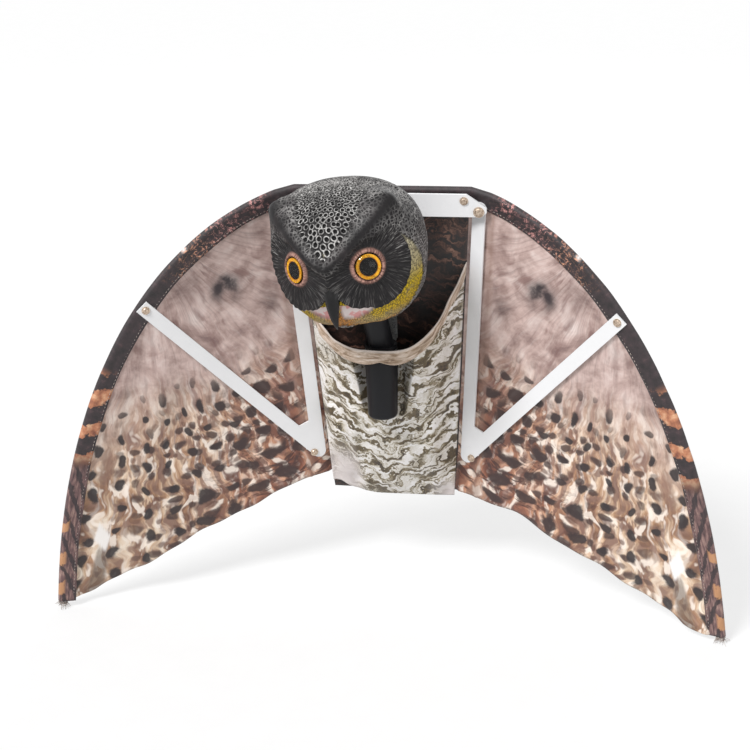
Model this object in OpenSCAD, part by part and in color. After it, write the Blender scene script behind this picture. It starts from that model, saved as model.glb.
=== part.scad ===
// Owl decoy on a pole: a hollow head that turns on a leaning neck, a cloth body
// pouch, and two cloth wings on riveted strip frames that flap in the wind.
// Origin: centre of the mouth of the pole sleeve. +Z up the sleeve, the owl faces -Y.
// Left and right are the owl's own, so left is +X.

/* [Pole sleeve and neck] */
// Radius of the bore that takes the pole
bore_r = 11.25; // [8:0.25:16]
// Depth of the bore, up to the stop
bore_depth = 46; // [36:1:50]
// Wall of the sleeve at its mouth
mouth_wall = 1.9; // [1.2:0.1:3]
// Wall of the sleeve at its top
top_wall = 3.25; // [2.2:0.05:5]
// Height of the sleeve
sleeve_h = 62; // [58:1:72]
// Radius of the neck stem
stem_r = 11; // [8:0.5:12.5]
// Forward and sideways lean of the neck stem
neck_lean = [17, -8, 0];

/* [Head] */
// Half width of the head
head_a = 65; // [60:1:72]
// Half depth of the head behind its centre
head_back = 45; // [42:1:48]
// Depth of the brow ridge in front of the head's centre
head_front = 63.5; // [60:0.5:70]
// Height of the crown above the head's centre
head_top = 52.5; // [48:0.5:58]
// Depth of the throat below the head's centre
head_low = 75; // [68:1:80]
// Wall of the head shell
head_wall = 2.5; // [1.5:0.1:4]
// Centre of the head, from the foot of the neck stem
head_at = [-19, -34, 104];
// Nod, lean and turn of the head at rest
head_set = [6.6, -7.3, -10];
// Radius of the eye domes
eye_r = 10.8; // [8:0.1:13]
// Distance of each eye from the head's middle plane
eye_x = 33; // [28:0.5:36]

/* [Wing frames] */
// Height of the wing pivots above the sleeve mouth
pivot_z = 183; // [170:1:200]
// Distance of each wing pivot from the middle plane
pivot_x = 84; // [78:1:100]
// Distance of the wing pivots behind the sleeve's axis
pivot_y = 25.5; // [24:0.5:34]
// Backward lean of the back and of both wing hinge lines
lean = 6.3; // [3:0.1:10]
// Inward slant of the inner legs
splay = 3.3; // [1:0.1:5]
// Forward sweep of each wing at rest
sweep = 24.5; // [10:0.5:26]
// Length of the inner leg, pivot to lower corner
leg_len = 247; // [200:1:255]
// Width of the frame strips
strip_w = 12.5; // [9:0.5:14]
// Thickness of the frame strips
strip_t = 1.6; // [1:0.1:2]
// Height of the crossbar
bar_h = 20.5; // [18:0.5:24]
// Thickness of the crossbar
bar_t = 2; // [1.5:0.1:3]
// Height of the crossbar's lower edge below the pivots
bar_drop = 4.7; // [4.5:0.1:7]

/* [Wing cloth] */
// Wing tip, outboard of and below the pivot
tip = [265, -344];
// Height of the top of the wings above the pivots
crown = 19; // [18:0.5:23]
// Width of the leading edge hem
hem_w = 16; // [13:0.5:20]
// Thickness of the cloth
cloth_t = 1; // [0.6:0.1:1.2]
// Radius of the bow spar in the hem
spar_r = 2; // [1.2:0.1:2.2]
// Lowest point of the wing's root edge below the pivot
root_low = 270; // [262:1:280]

/* [Body pouch] */
// Length of the back panel below the pivots
back_len = 292; // [280:1:300]
// Half width of the pouch's lower edge
foot_half = 57; // [45:1:57]
// Height of the collar's front above the sleeve mouth
rim_z = 67; // [62:1:72]
// How much the collar climbs to its left end
rim_rise_left = 66; // [30:1:75]
// How much the collar climbs to its right end
rim_rise_right = 24; // [15:1:75]
// Height of the collar's hem
collar_h = 13; // [10:1:15]
// Gap between the collar and the front of the sleeve
collar_gap = 1.5; // [0.8:0.1:4]

/* [Fasteners] */
// Radius of the pivot rivets' shafts
pivot_r = 2; // [1.5:0.1:2.4]
// Radius of the cloth rivets' shafts
rivet_r = 1.5; // [1:0.1:2]
// Radius of the cloth rivets' heads
rivet_head_r = 3.6; // [3:0.1:4.2]
// Radius of the pivot rivets' heads
pivot_head_r = 4.7; // [4:0.1:5.5]

/* [Hidden] */
$fn = 48;

left = 1;
right = -1;

// Clearances between pieces
face_gap = 0.3;      // soft piece to its neighbour
hole_gap = 0.1;      // rivet shaft in its hole, radial
run_gap = 0.05;      // neck hub on its stem, radial
flap_limit = sweep + 10;  // largest forward tilt that a wing reaches

// Layers, as distances behind the hinge plane of a wing or of the back
frame_back = strip_t / 2;
cloth_front = frame_back + 1.3;
cloth_back = cloth_front + cloth_t;
hem_skin = 0.8;
hem_front = frame_back + face_gap;
slot_front = hem_front + hem_skin;
slot_back = cloth_back + 0.2;
spar_y = slot_front + spar_r + 0.2;
hem_back = spar_y + spar_r + 0.2 + hem_skin;
// The crossbar stands far enough forward for a tilted frame to clear it
bar_back = -(strip_w / 2 * sin(flap_limit) + frame_back + 0.3);
bar_front = bar_back - bar_t;
strip_front = bar_back;
strip_back = bar_back + bar_t;

// Plan of the back: a line down each hinge, and its inboard neighbours
hinge_clear = strip_w / 2 + 2.75;   // from a hinge line to the edge of the back panel
function hinge_at(down) = pivot_x - down * tan(splay);

// Outline curves of a wing, outboard and up from its pivot
function bezier(p, t) = pow(1 - t, 3) * p[0] + 3 * pow(1 - t, 2) * t * p[1]
    + 3 * (1 - t) * t * t * p[2] + pow(t, 3) * p[3];
function slope(p, t) = 3 * (pow(1 - t, 2) * (p[1] - p[0]) + 2 * (1 - t) * t * (p[2] - p[1])
    + t * t * (p[3] - p[2]));
lead = [[-30, crown], [95, crown + 0.5], [tip[0] - 49, tip[1] + 250], tip];
trail = [tip + [-11, -2.3], tip + [-46, -4], [65, -root_low - 5], [1.5, -root_low]];
// A point on the leading edge, moved inwards by n
function lead_in(t, n) = let (s = slope(lead, t), u = s / norm(s)) bezier(lead, t) + n * [u[1], -u[0]];
hem_t0 = 0.107;      // where a wing's hem starts, clear of its pivot rivet
hem_steps = 36;
spar_end_t = 0.985;
rivet_t = 0.487;     // place of the outer rivet along the leading edge
outer_rivet = lead_in(rivet_t, 8);
low_rivet = [0, -leg_len];
diagonal = outer_rivet - low_rivet;
outer_overhang = 5;  // strip beyond the outer rivet

// Moves children from a wing's own frame, with x outboard, y back and z up its hinge line
module at_wing(side) {
    mirror([side < 0 ? 1 : 0, 0, 0]) translate([pivot_x, pivot_y, pivot_z])
        rotate([lean, 0, 0]) rotate([0, splay, 0]) rotate([0, 0, -sweep]) children();
}
// Moves children from the back's frame: x across, y back, z up from the pivots' height
module at_back() {
    translate([0, pivot_y, pivot_z]) rotate([lean, 0, 0]) children();
}
// Extrudes a flat outline, drawn across and up, between two distances behind the hinge plane
module layer(front, back) {
    translate([0, back, 0]) rotate([90, 0, 0]) linear_extrude(back - front) children();
}
// The two triangles of a four-sided face
function halves(a, b, c, d) = [[a, b, c], [a, c, d]];
// The walls between each ring of n points and the next
function walls(n, rings) = [for (k = [0 : rings - 2], i = [0 : n - 1]) let (j = (i + 1) % n)
    each halves(k * n + i, k * n + j, (k + 1) * n + j, (k + 1) * n + i)];
// Skins a row of rings into one closed solid. The second half of a ring runs back
// along its first half, so an end is closed by faces across from one to the other.
module skin(rings) {
    n = len(rings[0]);
    end = (len(rings) - 1) * n;
    polyhedron(points = [for (ring = rings) each ring], convexity = 6,
        faces = concat(walls(n, len(rings)), [for (i = [0 : n / 2 - 2]) let (j = n - 1 - i)
            each concat(halves(j, j - 1, i + 1, i), halves(end + i, end + i + 1, end + j - 1, end + j))]));
}
// A round fastener along y: head in front, shaft behind it
module rivet(head_front, seat, back, head_r, shaft_r) {
    union() {
        translate([0, back, 0]) rotate([90, 0, 0]) cylinder(h = back - seat, r = shaft_r);
        translate([0, seat, 0]) rotate([90, 0, 0]) cylinder(h = (seat - head_front) * 0.55, r = head_r);
        translate([0, seat, 0]) rotate([90, 0, 0])
            cylinder(h = seat - head_front, r1 = head_r * 0.92, r2 = head_r * 0.6);
    }
}

// ---- Pole sleeve, neck and back bracket ----
bracket_t = 2;
flange_t = 4;
seat_r = bore_r - 0.75;          // bore above the stop, for the neck post's plug
sleeve_r = bore_r + top_wall;
elbow_z = sleeve_h + bracket_t + flange_t;
plug_gap = 0.1;

module pole_sleeve() {
    color("#1d1d1f") rotate_extrude($fn = 64) polygon([
        [bore_r, 0], [bore_r + mouth_wall - 0.8, 0], [bore_r + mouth_wall, 1.6],
        [sleeve_r, sleeve_h * 0.8], [sleeve_r, sleeve_h],
        [seat_r, sleeve_h], [seat_r, bore_depth], [bore_r, bore_depth]]);
}
module at_neck() {
    translate([0, 0, elbow_z]) rotate(neck_lean) children();
}
// Where the stem passes through the plug of the neck opening, along the stem
hub_mid = 61;
hub_top = hub_mid + 15;
hub_low = hub_mid - 10;
module neck_post() {
    color("#1d1d1f") difference() {
        union() {
            translate([0, 0, bore_depth + face_gap])
                cylinder(h = elbow_z - flange_t - bore_depth, r = seat_r - plug_gap);
            translate([0, 0, elbow_z - flange_t]) cylinder(h = flange_t, r = sleeve_r - 0.5);
            translate([0, 0, elbow_z]) sphere(r = stem_r);
            at_neck() cylinder(h = hub_top, r = stem_r);
        }
        at_neck() translate([0, 0, hub_top - screw_len]) cylinder(h = screw_len + 1, r = screw_r + hole_gap);
    }
}
tab_h = 30;
tab_w = 20;
bracket_reach = pivot_y + (pivot_z - elbow_z) * tan(lean);
bracket_low = (elbow_z - flange_t - bracket_t - pivot_z) / cos(lean);
module tab_outline(drop) {
    translate([-tab_w / 2, bracket_low - drop]) square([tab_w, tab_h + drop]);
}
screw_up = [8, 22];              // heights of the two bracket screws on the tab
tab_front = strip_front - 2.5;
module back_bracket() {
    color("#d8d8d6") difference() {
        union() {
            translate([0, 0, sleeve_h]) {
                cylinder(h = bracket_t, r = sleeve_r - 0.5);
                translate([-tab_w / 2, 0, 0])
                    cube([tab_w, bracket_reach + tab_front + 1.5, bracket_t]);
            }
            at_back() layer(tab_front, strip_front) tab_outline(0);
        }
        translate([0, 0, sleeve_h - 1]) cylinder(h = bracket_t + 2, r = seat_r);
        at_back() layer(tab_front - 1, strip_front + 1) for (up = screw_up)
            translate([0, bracket_low + up]) circle(r = 2 + hole_gap);
    }
}
module bracket_screws() {
    color("#8c8c8c") at_back() for (up = screw_up) translate([0, 0, bracket_low + up])
        rivet(tab_front - 2.2, tab_front, strip_back + 0.8, 3.8, 2);
}
module centre_strip() {
    color("#f2f2f0") at_back() difference() {
        layer(strip_front, strip_back) translate([-strip_w / 2, bracket_low + 1])
            square([strip_w, bar_h - bar_drop - bracket_low - 2]);
        layer(strip_front - 1, strip_back + 1) {
            for (up = screw_up) translate([0, bracket_low + up]) circle(r = 2 + hole_gap);
            for (up = centre_rivet_up) translate([0, up]) circle(r = rivet_r + hole_gap);
        }
    }
}

// ---- Crossbar ----
bar_end = 6.7;                   // crossbar beyond each pivot
centre_rivet_up = [-1, 11];
cloth_rivet = [pivot_x - 12.5, 10];   // rivet that holds the cloth to the bar
rivet_head_h = 1.6;
module crossbar() {
    half = pivot_x + bar_end;
    color("#f4f4f2") at_back() difference() {
        layer(bar_front, bar_back) polygon([
            [-half, -bar_drop + 4], [-half + 4, -bar_drop], [half - 4, -bar_drop], [half, -bar_drop + 4],
            [half, bar_h - bar_drop - 12], [half - 17, bar_h - bar_drop],
            [-half + 17, bar_h - bar_drop], [-half, bar_h - bar_drop - 12]]);
        layer(bar_front - 1, bar_back + 1) {
            for (side = [left, right]) {
                translate([side * pivot_x, 0]) circle(r = pivot_r + hole_gap);
                translate([side * cloth_rivet[0], cloth_rivet[1]]) circle(r = rivet_r + hole_gap);
            }
            for (up = centre_rivet_up) translate([0, up]) circle(r = rivet_r + hole_gap);
        }
    }
}
module centre_rivets() {
    color("#b49a6c") at_back() for (up = centre_rivet_up) translate([0, 0, up])
        rivet(bar_front - rivet_head_h, bar_front, strip_back + 1, rivet_head_r, rivet_r);
}
module bar_rivets() {
    color("#b49a6c") at_back() for (side = [left, right])
        translate([side * cloth_rivet[0], 0, cloth_rivet[1]]) union() {
            rivet(bar_front - rivet_head_h, bar_front, hem_back - 2, rivet_head_r, rivet_r);
            // Spacer between the bar and the cloth
            translate([0, hem_front - 0.1, 0]) rotate([90, 0, 0])
                cylinder(h = hem_front - 0.1 - bar_back, r = rivet_r + 1);
        }
}

// ---- Hem with its bow spar ----
// Section of the hem: inward from the edge, and behind the hinge plane
hem_section = [
    [hem_w, hem_front], [1.2, hem_front], [0, hem_front + 1.2], [0, hem_back - 1.2], [1.2, hem_back],
    [spar_r * 2 + 1.4, hem_back], [spar_r * 2 + 3.4, slot_back + hem_skin], [hem_w, slot_back + hem_skin],
    [hem_w, slot_back], [spar_r * 2 + 3, slot_back], [spar_r * 2 + 1, hem_back - hem_skin],
    [1.6, hem_back - hem_skin], [0.8, hem_back - 1.6], [0.8, hem_front + 1.6], [1.6, slot_front],
    [hem_w, slot_front]];
spar_n = 0.8 + 0.2 + spar_r;     // the spar's distance from the edge
function disc(r, n) = [for (i = [0 : n - 1]) r * [cos(-i * 360 / n), sin(-i * 360 / n)]];
function along_lead(section, t) = [for (p = section) let (q = lead_in(t, p[0])) [q[0], p[1], q[1]]];
function across_top(section, x) = [for (p = section) [x, p[1], crown - p[0]]];
spar_section = [for (p = disc(spar_r, 8)) p + [spar_n, spar_y]];
hem_half = pivot_x - hinge_clear;

module centre_hem() {
    color("#3a3232") at_back()
        skin([across_top(hem_section, -hem_half), across_top(hem_section, hem_half)]);
}
module centre_spar() {
    color("#26262a") at_back() translate([-hem_half, spar_y, crown - spar_n]) rotate([0, 90, 0])
        cylinder(h = 2 * hem_half, r = spar_r, $fn = 24);
}
module wing_hem(side) {
    color("#3a3232") at_wing(side) skin([for (i = [0 : hem_steps])
        along_lead(hem_section, hem_t0 + (1 - hem_t0) * i / hem_steps)]);
}
module spar(side) {
    color("#26262a") at_wing(side) skin([for (i = [0 : hem_steps])
        along_lead(spar_section, hem_t0 + (spar_end_t - hem_t0) * i / hem_steps)]);
}
// Thread bound round the end of the hem at the wing tip
tie_r = 4.5;
tie_h = 6;
module tip_tie(side) {
    run = slope(lead, 1) / norm(slope(lead, 1));
    place = lead_in(1, tie_r + 0.5) + face_gap * run;
    color("#8a7a66") at_wing(side) translate([place[0], (hem_front + hem_back) / 2, place[1]])
        rotate([0, atan2(-run[0], -run[1]), 0]) translate([0, 0, -tie_h])
            cylinder(h = tie_h, r1 = tie_r * 0.55, r2 = tie_r, $fn = 24);
}

// ---- Wing cloth and frame ----
module wing_outline() {
    edge = [for (i = [0 : 28]) lead_in(hem_t0 + (0.994 - hem_t0) * i / 28, spar_r * 2 + 2)];
    rear = [for (i = [0 : 20]) bezier(trail, i / 20)];
    difference() {
        polygon(concat([[1.5, -2]], edge, rear));
        circle(r = 8);
    }
}
module wing_cloth(side) {
    color("#c9a58c") at_wing(side) difference() {
        layer(cloth_front, cloth_back) wing_outline();
        layer(cloth_front - 1, cloth_back + 1) for (p = [outer_rivet, low_rivet + [5, 0]])
            translate(p) circle(r = rivet_r + hole_gap);
    }
}
module strip_outline(length) {
    translate([-strip_w / 2, 0]) square([strip_w, length]);
}
module frame_outline() {
    angle = atan2(diagonal[0], diagonal[1]);
    difference() {
        union() {
            circle(r = strip_w / 2 + 0.6);
            translate(low_rivet) {
                circle(r = strip_w / 2);
                strip_outline(leg_len);
                rotate(-angle) strip_outline(norm(diagonal) + outer_overhang);
                // Web that fills the corner between the legs
                rotate(-angle / 2) polygon([[-10, 8], [10, 8], [5, 34], [-5, 34]]);
            }
        }
        circle(r = pivot_r + 1);
        translate(outer_rivet) circle(r = rivet_r + hole_gap);
        translate(low_rivet + [5, 0]) circle(r = rivet_r + hole_gap);
    }
}
module wing_frame(side) {
    color("#f6f6f4") at_wing(side) layer(-strip_t / 2, strip_t / 2) frame_outline();
}
module wing_rivets(side) {
    color("#b49a6c") at_wing(side) for (p = [outer_rivet, low_rivet + [5, 0]])
        translate([p[0], 0, p[1]])
            rivet(-frame_back - rivet_head_h, -frame_back, hem_back - 2.2, rivet_head_r, rivet_r);
}
// The pivot rivet is clenched behind the frame, with room for the frame to tilt on it
clench = strip_w / 2 * tan(flap_limit) + frame_back;
clench_h = 1.2;
module pivot_rivet(side) {
    color("#b49a6c") at_back() translate([side * pivot_x, 0, 0]) union() {
        rivet(bar_front - 1.8, bar_front, clench + clench_h, pivot_head_r, pivot_r);
        translate([0, clench + clench_h, 0]) rotate([90, 0, 0]) cylinder(h = clench_h, r = pivot_head_r - 0.2);
    }
}
module pivot_washer(side) {
    color("#9c9c9c") at_back() translate([side * pivot_x, 0, 0]) difference() {
        layer(bar_back, bar_back + 0.8) circle(r = 3.2);
        layer(bar_back - 1, bar_back + 2) circle(r = pivot_r + hole_gap);
    }
}

// ---- Body pouch ----
back_top = crown - spar_r * 2 - 2;
module back_panel() {
    foot = back_len - 6;
    edge_x = hinge_at(leg_len) - hinge_clear;
    color("#54463c") at_back() difference() {
        layer(cloth_front, cloth_back) polygon([
            [-hem_half, back_top], [hem_half, back_top], [edge_x, -leg_len],
            [foot_half, -foot], [-foot_half, -foot], [-edge_x, -leg_len]]);
        layer(cloth_front - 1, cloth_back + 1) for (side = [left, right])
            translate([side * cloth_rivet[0], cloth_rivet[1]]) circle(r = rivet_r + hole_gap);
    }
}
pouch_t = 1.6;
foot_z = pivot_z - back_len * cos(lean);
// Front of the back panel at a height
function back_y(z) = pivot_y + (pivot_z - z) * tan(lean) + cloth_front - face_gap - pouch_t;
// Half width of the pouch at a height
function rim_share(z) = (z - foot_z) / (rim_z - foot_z);
function pouch_half(z) = min(foot_half + 11 * rim_share(z),
    hinge_at((pivot_z - z) / cos(lean)) - hinge_clear - 1);
// How far the pouch stands forward of the back panel in the middle, at a height
rim_depth = back_y(rim_z) + sleeve_r + collar_gap + pouch_t;
function pouch_depth(z) = rim_depth * pow(max(0, min(1, rim_share(z))), 0.8);
// Behind the sleeve and the pole the pouch is pressed back
press_y = sleeve_r + 1.5;
function pressed(x) = press_y - 2.2 * max(0, abs(x) - press_y);
function rim_at(u) = rim_z + (u > 0 ? rim_rise_left : rim_rise_right) * pow(abs(u), 3.2);
function pouch_point(u, z, press, skin_y) = let (x = u * pouch_half(z),
    level = press ? z : max(z, rim_z), y = back_y(level) - pouch_depth(level) * (1 - u * u))
    [x, (press ? max(y, pressed(x)) : y) + skin_y, z];
// A sheet of the pouch between two heights that depend on the place across
across = 32;
module pouch_sheet(low, high, rows, press) {
    us = [for (i = [0 : across]) 2 * i / across - 1];
    skin([for (u = us) concat(
        [for (k = [0 : rows]) pouch_point(u, low(u) + (high(u) - low(u)) * k / rows, press, 0)],
        [for (k = [rows : -1 : 0]) pouch_point(u, low(u) + (high(u) - low(u)) * k / rows, press, pouch_t)])]);
}
slit_gap = 0.4;
module belly_panel() {
    color("#b9aa92") pouch_sheet(function (u) foot_z + 2,
        function (u) rim_at(u) - collar_h - slit_gap, 16, true);
}
module collar_hem() {
    color("#cdbfa6") pouch_sheet(function (u) rim_at(u) - collar_h, function (u) rim_at(u), 2, false);
}

// ---- Head ----
module at_head() {
    translate([0, 0, elbow_z] + head_at) rotate(head_set) children();
}
face_yaw = 34;                   // each face half is turned outwards
face_up = 10;                    // and leans back
eye_y = -51;
eye_z = -3.5;
function face_normal(side) = [side * sin(face_yaw) * cos(face_up), -cos(face_yaw) * cos(face_up), sin(face_up)];
eye_point = [eye_x, eye_y, eye_z];
face_dist = eye_point * face_normal(1);
function bump(a, b, size, spread) = size * exp(-pow(norm(a - b) / spread, 2));
round = 2.3;                     // 2 is an ellipsoid, more is boxier
// Distance of the head's surface from its centre, in the direction d: a rounded
// hull cut by the two face planes, with the beak and two low ear tufts
function head_reach(d) = let (
    deep = d[1] > 0 ? head_back : head_front,
    high = d[2] > 0 ? head_top : head_low,
    hull_r = pow(pow(abs(d[0]) / head_a, round) + pow(abs(d[1]) / deep, round)
        + pow(abs(d[2]) / high, round), -1 / round),
    faces = [for (side = [left, right]) let (c = d * face_normal(side)) c > 0.2 ? face_dist / c : 5 * face_dist],
    r = pow(pow(hull_r, -14) + pow(faces[0], -14) + pow(faces[1], -14), -1 / 14))
    r + bump(d, [0, -0.79, -0.61], 14, 0.15) + bump(d, [0.7, -0.3, 0.65], 6, 0.24)
      + bump(d, [-0.7, -0.3, 0.65], 6, 0.24);
neck_polar = 143;                // the neck opening, measured from the crown
head_cols = 40;
head_rows = 22;
module head_shell() {
    polar = [for (k = [1 : head_rows]) neck_polar * k / head_rows];
    function dir(p, a) = [sin(p) * sin(a), -sin(p) * cos(a), cos(p)];
    function ring(p, wall) = [for (i = [0 : head_cols - 1]) let (d = dir(p, 360 * i / head_cols))
        d * (head_reach(d) - wall)];
    rings = concat([for (p = polar) ring(p, 0)], [for (k = [head_rows - 1 : -1 : 0]) ring(polar[k], head_wall)]);
    n = head_cols;
    last = len(rings) - 1;
    up = [0, 0, 1];
    color("#33302f") at_head() polyhedron(
        points = concat([for (r = rings) each r], [up * head_reach(up), up * (head_reach(up) - head_wall)]),
        faces = concat(
            [for (i = [0 : n - 1]) [(last + 1) * n, (i + 1) % n, i]],
            walls(n, len(rings)),
            [for (i = [0 : n - 1]) [(last + 1) * n + 1, last * n + i, last * n + (i + 1) % n]]),
        convexity = 8);
}
// Disc that closes the neck opening, with the hub that turns on the stem
plug_t = 3;
plug_low = -0.64 * head_low;
module plug_outline() {
    inset = head_wall + face_gap;
    share = pow(1 - pow(-plug_low / (head_low - inset), round), 1 / round);
    function curve(v) = sign(v) * pow(abs(v), 2 / round);
    polygon([for (i = [0 : 59]) let (c = cos(6 * i), s = sin(6 * i))
        share * [(head_a - inset) * curve(c), ((s > 0 ? head_back : head_front) - inset) * curve(s)]]);
}
module neck_plug() {
    color("#1d1d1f") difference() {
        union() {
            at_head() translate([0, 0, plug_low]) linear_extrude(plug_t) plug_outline();
            at_neck() translate([0, 0, hub_low]) cylinder(h = hub_top - hub_low - 0.4, r = stem_r + 4);
        }
        at_neck() translate([0, 0, hub_low - 1]) cylinder(h = hub_top - hub_low + 2, r = stem_r + run_gap);
    }
}
screw_r = 2.5;
screw_len = 16;
washer_t = 1.5;
module neck_washer() {
    color("#9c9c9c") at_neck() translate([0, 0, hub_top]) difference() {
        cylinder(h = washer_t, r = stem_r + 2.5);
        translate([0, 0, -1]) cylinder(h = washer_t + 2, r = screw_r + hole_gap);
    }
}
module neck_screw() {
    color("#8c8c8c") at_neck() translate([0, 0, hub_top + washer_t]) union() {
        cylinder(h = 3, r = screw_r * 1.9);
        translate([0, 0, -washer_t - screw_len + 1]) cylinder(h = washer_t + screw_len - 1, r = screw_r);
    }
}

// ---- Eyes: a painted disc under a clear dome, pressed into the face ----
module at_eye(side) {
    at_head() translate([side * eye_x, eye_y, eye_z])
        rotate([0, 0, side * face_yaw]) rotate([90 - face_up, 0, 0]) children();
}
dome_h = 4;
eye_depth = 2;
module iris(side) {
    color("#f2a91c") at_eye(side) translate([0, 0, -eye_depth]) cylinder(h = 1, r = eye_r - 0.4);
}
module eye_lens(side) {
    dome_r = (eye_r * eye_r + dome_h * dome_h) / (2 * dome_h);
    color("#ffffff", 0.4) at_eye(side) union() {
        translate([0, 0, 1 - eye_depth]) cylinder(h = eye_depth - 1, r = eye_r);
        intersection() {
            translate([0, 0, dome_h - dome_r]) sphere(r = dome_r, $fn = 64);
            cylinder(h = dome_h + 1, r = eye_r);
        }
    }
}

pole_sleeve();
neck_post();
back_bracket();
bracket_screws();
centre_strip();
crossbar();
centre_rivets();
bar_rivets();
centre_hem();
centre_spar();
back_panel();
belly_panel();
collar_hem();
head_shell();
neck_plug();
neck_washer();
neck_screw();
iris(left);  // left_iris
iris(right);  // right_iris
eye_lens(left);  // left_eye_lens
eye_lens(right);  // right_eye_lens
pivot_rivet(left);  // left_pivot_rivet
pivot_rivet(right);  // right_pivot_rivet
pivot_washer(left);  // left_pivot_washer
pivot_washer(right);  // right_pivot_washer
wing_frame(left);  // left_wing_frame
wing_frame(right);  // right_wing_frame
wing_cloth(left);  // left_wing_cloth
wing_cloth(right);  // right_wing_cloth
wing_hem(left);  // left_wing_hem
wing_hem(right);  // right_wing_hem
spar(left);  // left_spar
spar(right);  // right_spar
wing_rivets(left);  // left_wing_rivets
wing_rivets(right);  // right_wing_rivets
tip_tie(left);  // left_tip_tie
tip_tie(right);  // right_tip_tie
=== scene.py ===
"""Looks of the owl decoy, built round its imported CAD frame. Lengths are in mm until mesh() scales them."""
import math

import bpy
import numpy as np
from mathutils import Matrix, Vector


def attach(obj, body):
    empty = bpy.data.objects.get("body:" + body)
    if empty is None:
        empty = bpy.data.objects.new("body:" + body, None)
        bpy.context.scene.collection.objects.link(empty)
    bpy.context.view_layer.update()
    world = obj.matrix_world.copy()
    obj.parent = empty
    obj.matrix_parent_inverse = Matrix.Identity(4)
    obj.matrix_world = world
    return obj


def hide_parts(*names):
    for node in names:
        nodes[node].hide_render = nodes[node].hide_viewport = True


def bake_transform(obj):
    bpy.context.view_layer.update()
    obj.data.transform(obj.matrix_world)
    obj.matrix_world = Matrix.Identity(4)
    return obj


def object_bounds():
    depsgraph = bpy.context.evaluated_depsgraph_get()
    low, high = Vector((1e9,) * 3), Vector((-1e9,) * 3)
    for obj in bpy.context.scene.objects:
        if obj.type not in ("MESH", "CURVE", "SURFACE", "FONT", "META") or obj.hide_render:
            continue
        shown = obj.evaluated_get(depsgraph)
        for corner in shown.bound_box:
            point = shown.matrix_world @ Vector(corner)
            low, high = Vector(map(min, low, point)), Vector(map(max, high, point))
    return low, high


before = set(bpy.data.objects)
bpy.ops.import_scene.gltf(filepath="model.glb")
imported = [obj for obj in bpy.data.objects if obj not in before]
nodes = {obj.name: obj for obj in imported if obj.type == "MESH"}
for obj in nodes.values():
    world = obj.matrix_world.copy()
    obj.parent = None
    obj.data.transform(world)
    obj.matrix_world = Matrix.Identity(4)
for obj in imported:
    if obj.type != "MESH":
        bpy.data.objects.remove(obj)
cad_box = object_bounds()
MM = 0.001

# ---- Sizes shared with the CAD source ----
SLEEVE_R = 14.5
ELBOW_Z = 68.0
HEAD_AT, HEAD_SET = np.array([-19.0, -34.0, 104.0]), (6.6, -7.3, -10.0)
HEAD_A, HEAD_BACK, HEAD_FRONT, HEAD_TOP, HEAD_LOW, ROUND = 65.0, 45.0, 63.5, 52.5, 75.0, 2.3
EYE, FACE_YAW, FACE_UP = np.array([33.0, -51.0, -3.5]), 34.0, 10.0
NECK_POLAR = 143.0
PIVOT = np.array([84.0, 25.5, 183.0])
LEAN, SPLAY, SWEEP = 6.3, 3.3, 24.5
LEG_LEN = 247.0
TIP, CROWN, ROOT_LOW = np.array([265.0, -344.0]), 19.0, 270.0
HEM_W, HEM_FRONT, HEM_BACK, SPAR_R, SPAR_Y = 16.0, 1.1, 7.1, 2.0, 4.1
CLOTH_FRONT = 2.1
HINGE_CLEAR = 9.0
HEM_HALF = PIVOT[0] - HINGE_CLEAR
BACK_LEN, FOOT_HALF = 292.0, 57.0
RIM_Z, RISE_LEFT, RISE_RIGHT, COLLAR_H, COLLAR_GAP, POUCH_T = 67.0, 66.0, 24.0, 13.0, 1.5, 1.6
OUTER_RIVET_T = 0.487

# ---- Sizes of the soft pieces ----
WING_T, BACK_T, BELLY_T, BAND_T = 0.7, 0.7, 0.8, 0.6
SEAM_LAP = 4.0          # how far the wing's cloth reaches in behind the back's
BAND_BREAK = 7.0        # how far inboard of it the back's stretch of the band and the rod ends
STITCH_STEP, STITCH_LEN = 3.6, 2.4
MELD = 14.0             # how sharply the head's hull and its face planes meet


def rot(axis, degrees):
    """A rotation about x, y or z."""
    return np.array(Matrix.Rotation(math.radians(degrees), 3, axis))


def smooth(low, high, value):
    """0 below low, 1 above high, and smooth between; low may be the larger one."""
    t = np.clip((np.asarray(value, float) - low) / (high - low), 0, 1)
    return t * t * (3 - 2 * t)


def unit(v):
    return v / np.linalg.norm(v, axis=-1, keepdims=True)


WING_R = rot("X", LEAN) @ rot("Y", SPLAY) @ rot("Z", -SWEEP)
BACK_R = rot("X", LEAN)
HEAD_R = rot("Z", HEAD_SET[2]) @ rot("Y", HEAD_SET[1]) @ rot("X", HEAD_SET[0])
HEAD_C = HEAD_AT + [0, 0, ELBOW_Z]
EYE_R = rot("Z", FACE_YAW) @ rot("X", 90 - FACE_UP)


def at_wing(p, side):
    """From a wing's frame (x outboard, y back, z up its hinge line) to the row frame."""
    return (np.asarray(p, float) @ WING_R.T + PIVOT) * [side, 1, 1]


def at_back(p):
    return np.asarray(p, float) @ BACK_R.T + [0, PIVOT[1], PIVOT[2]]


def at_head(p):
    return np.asarray(p, float) @ HEAD_R.T + HEAD_C


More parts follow.
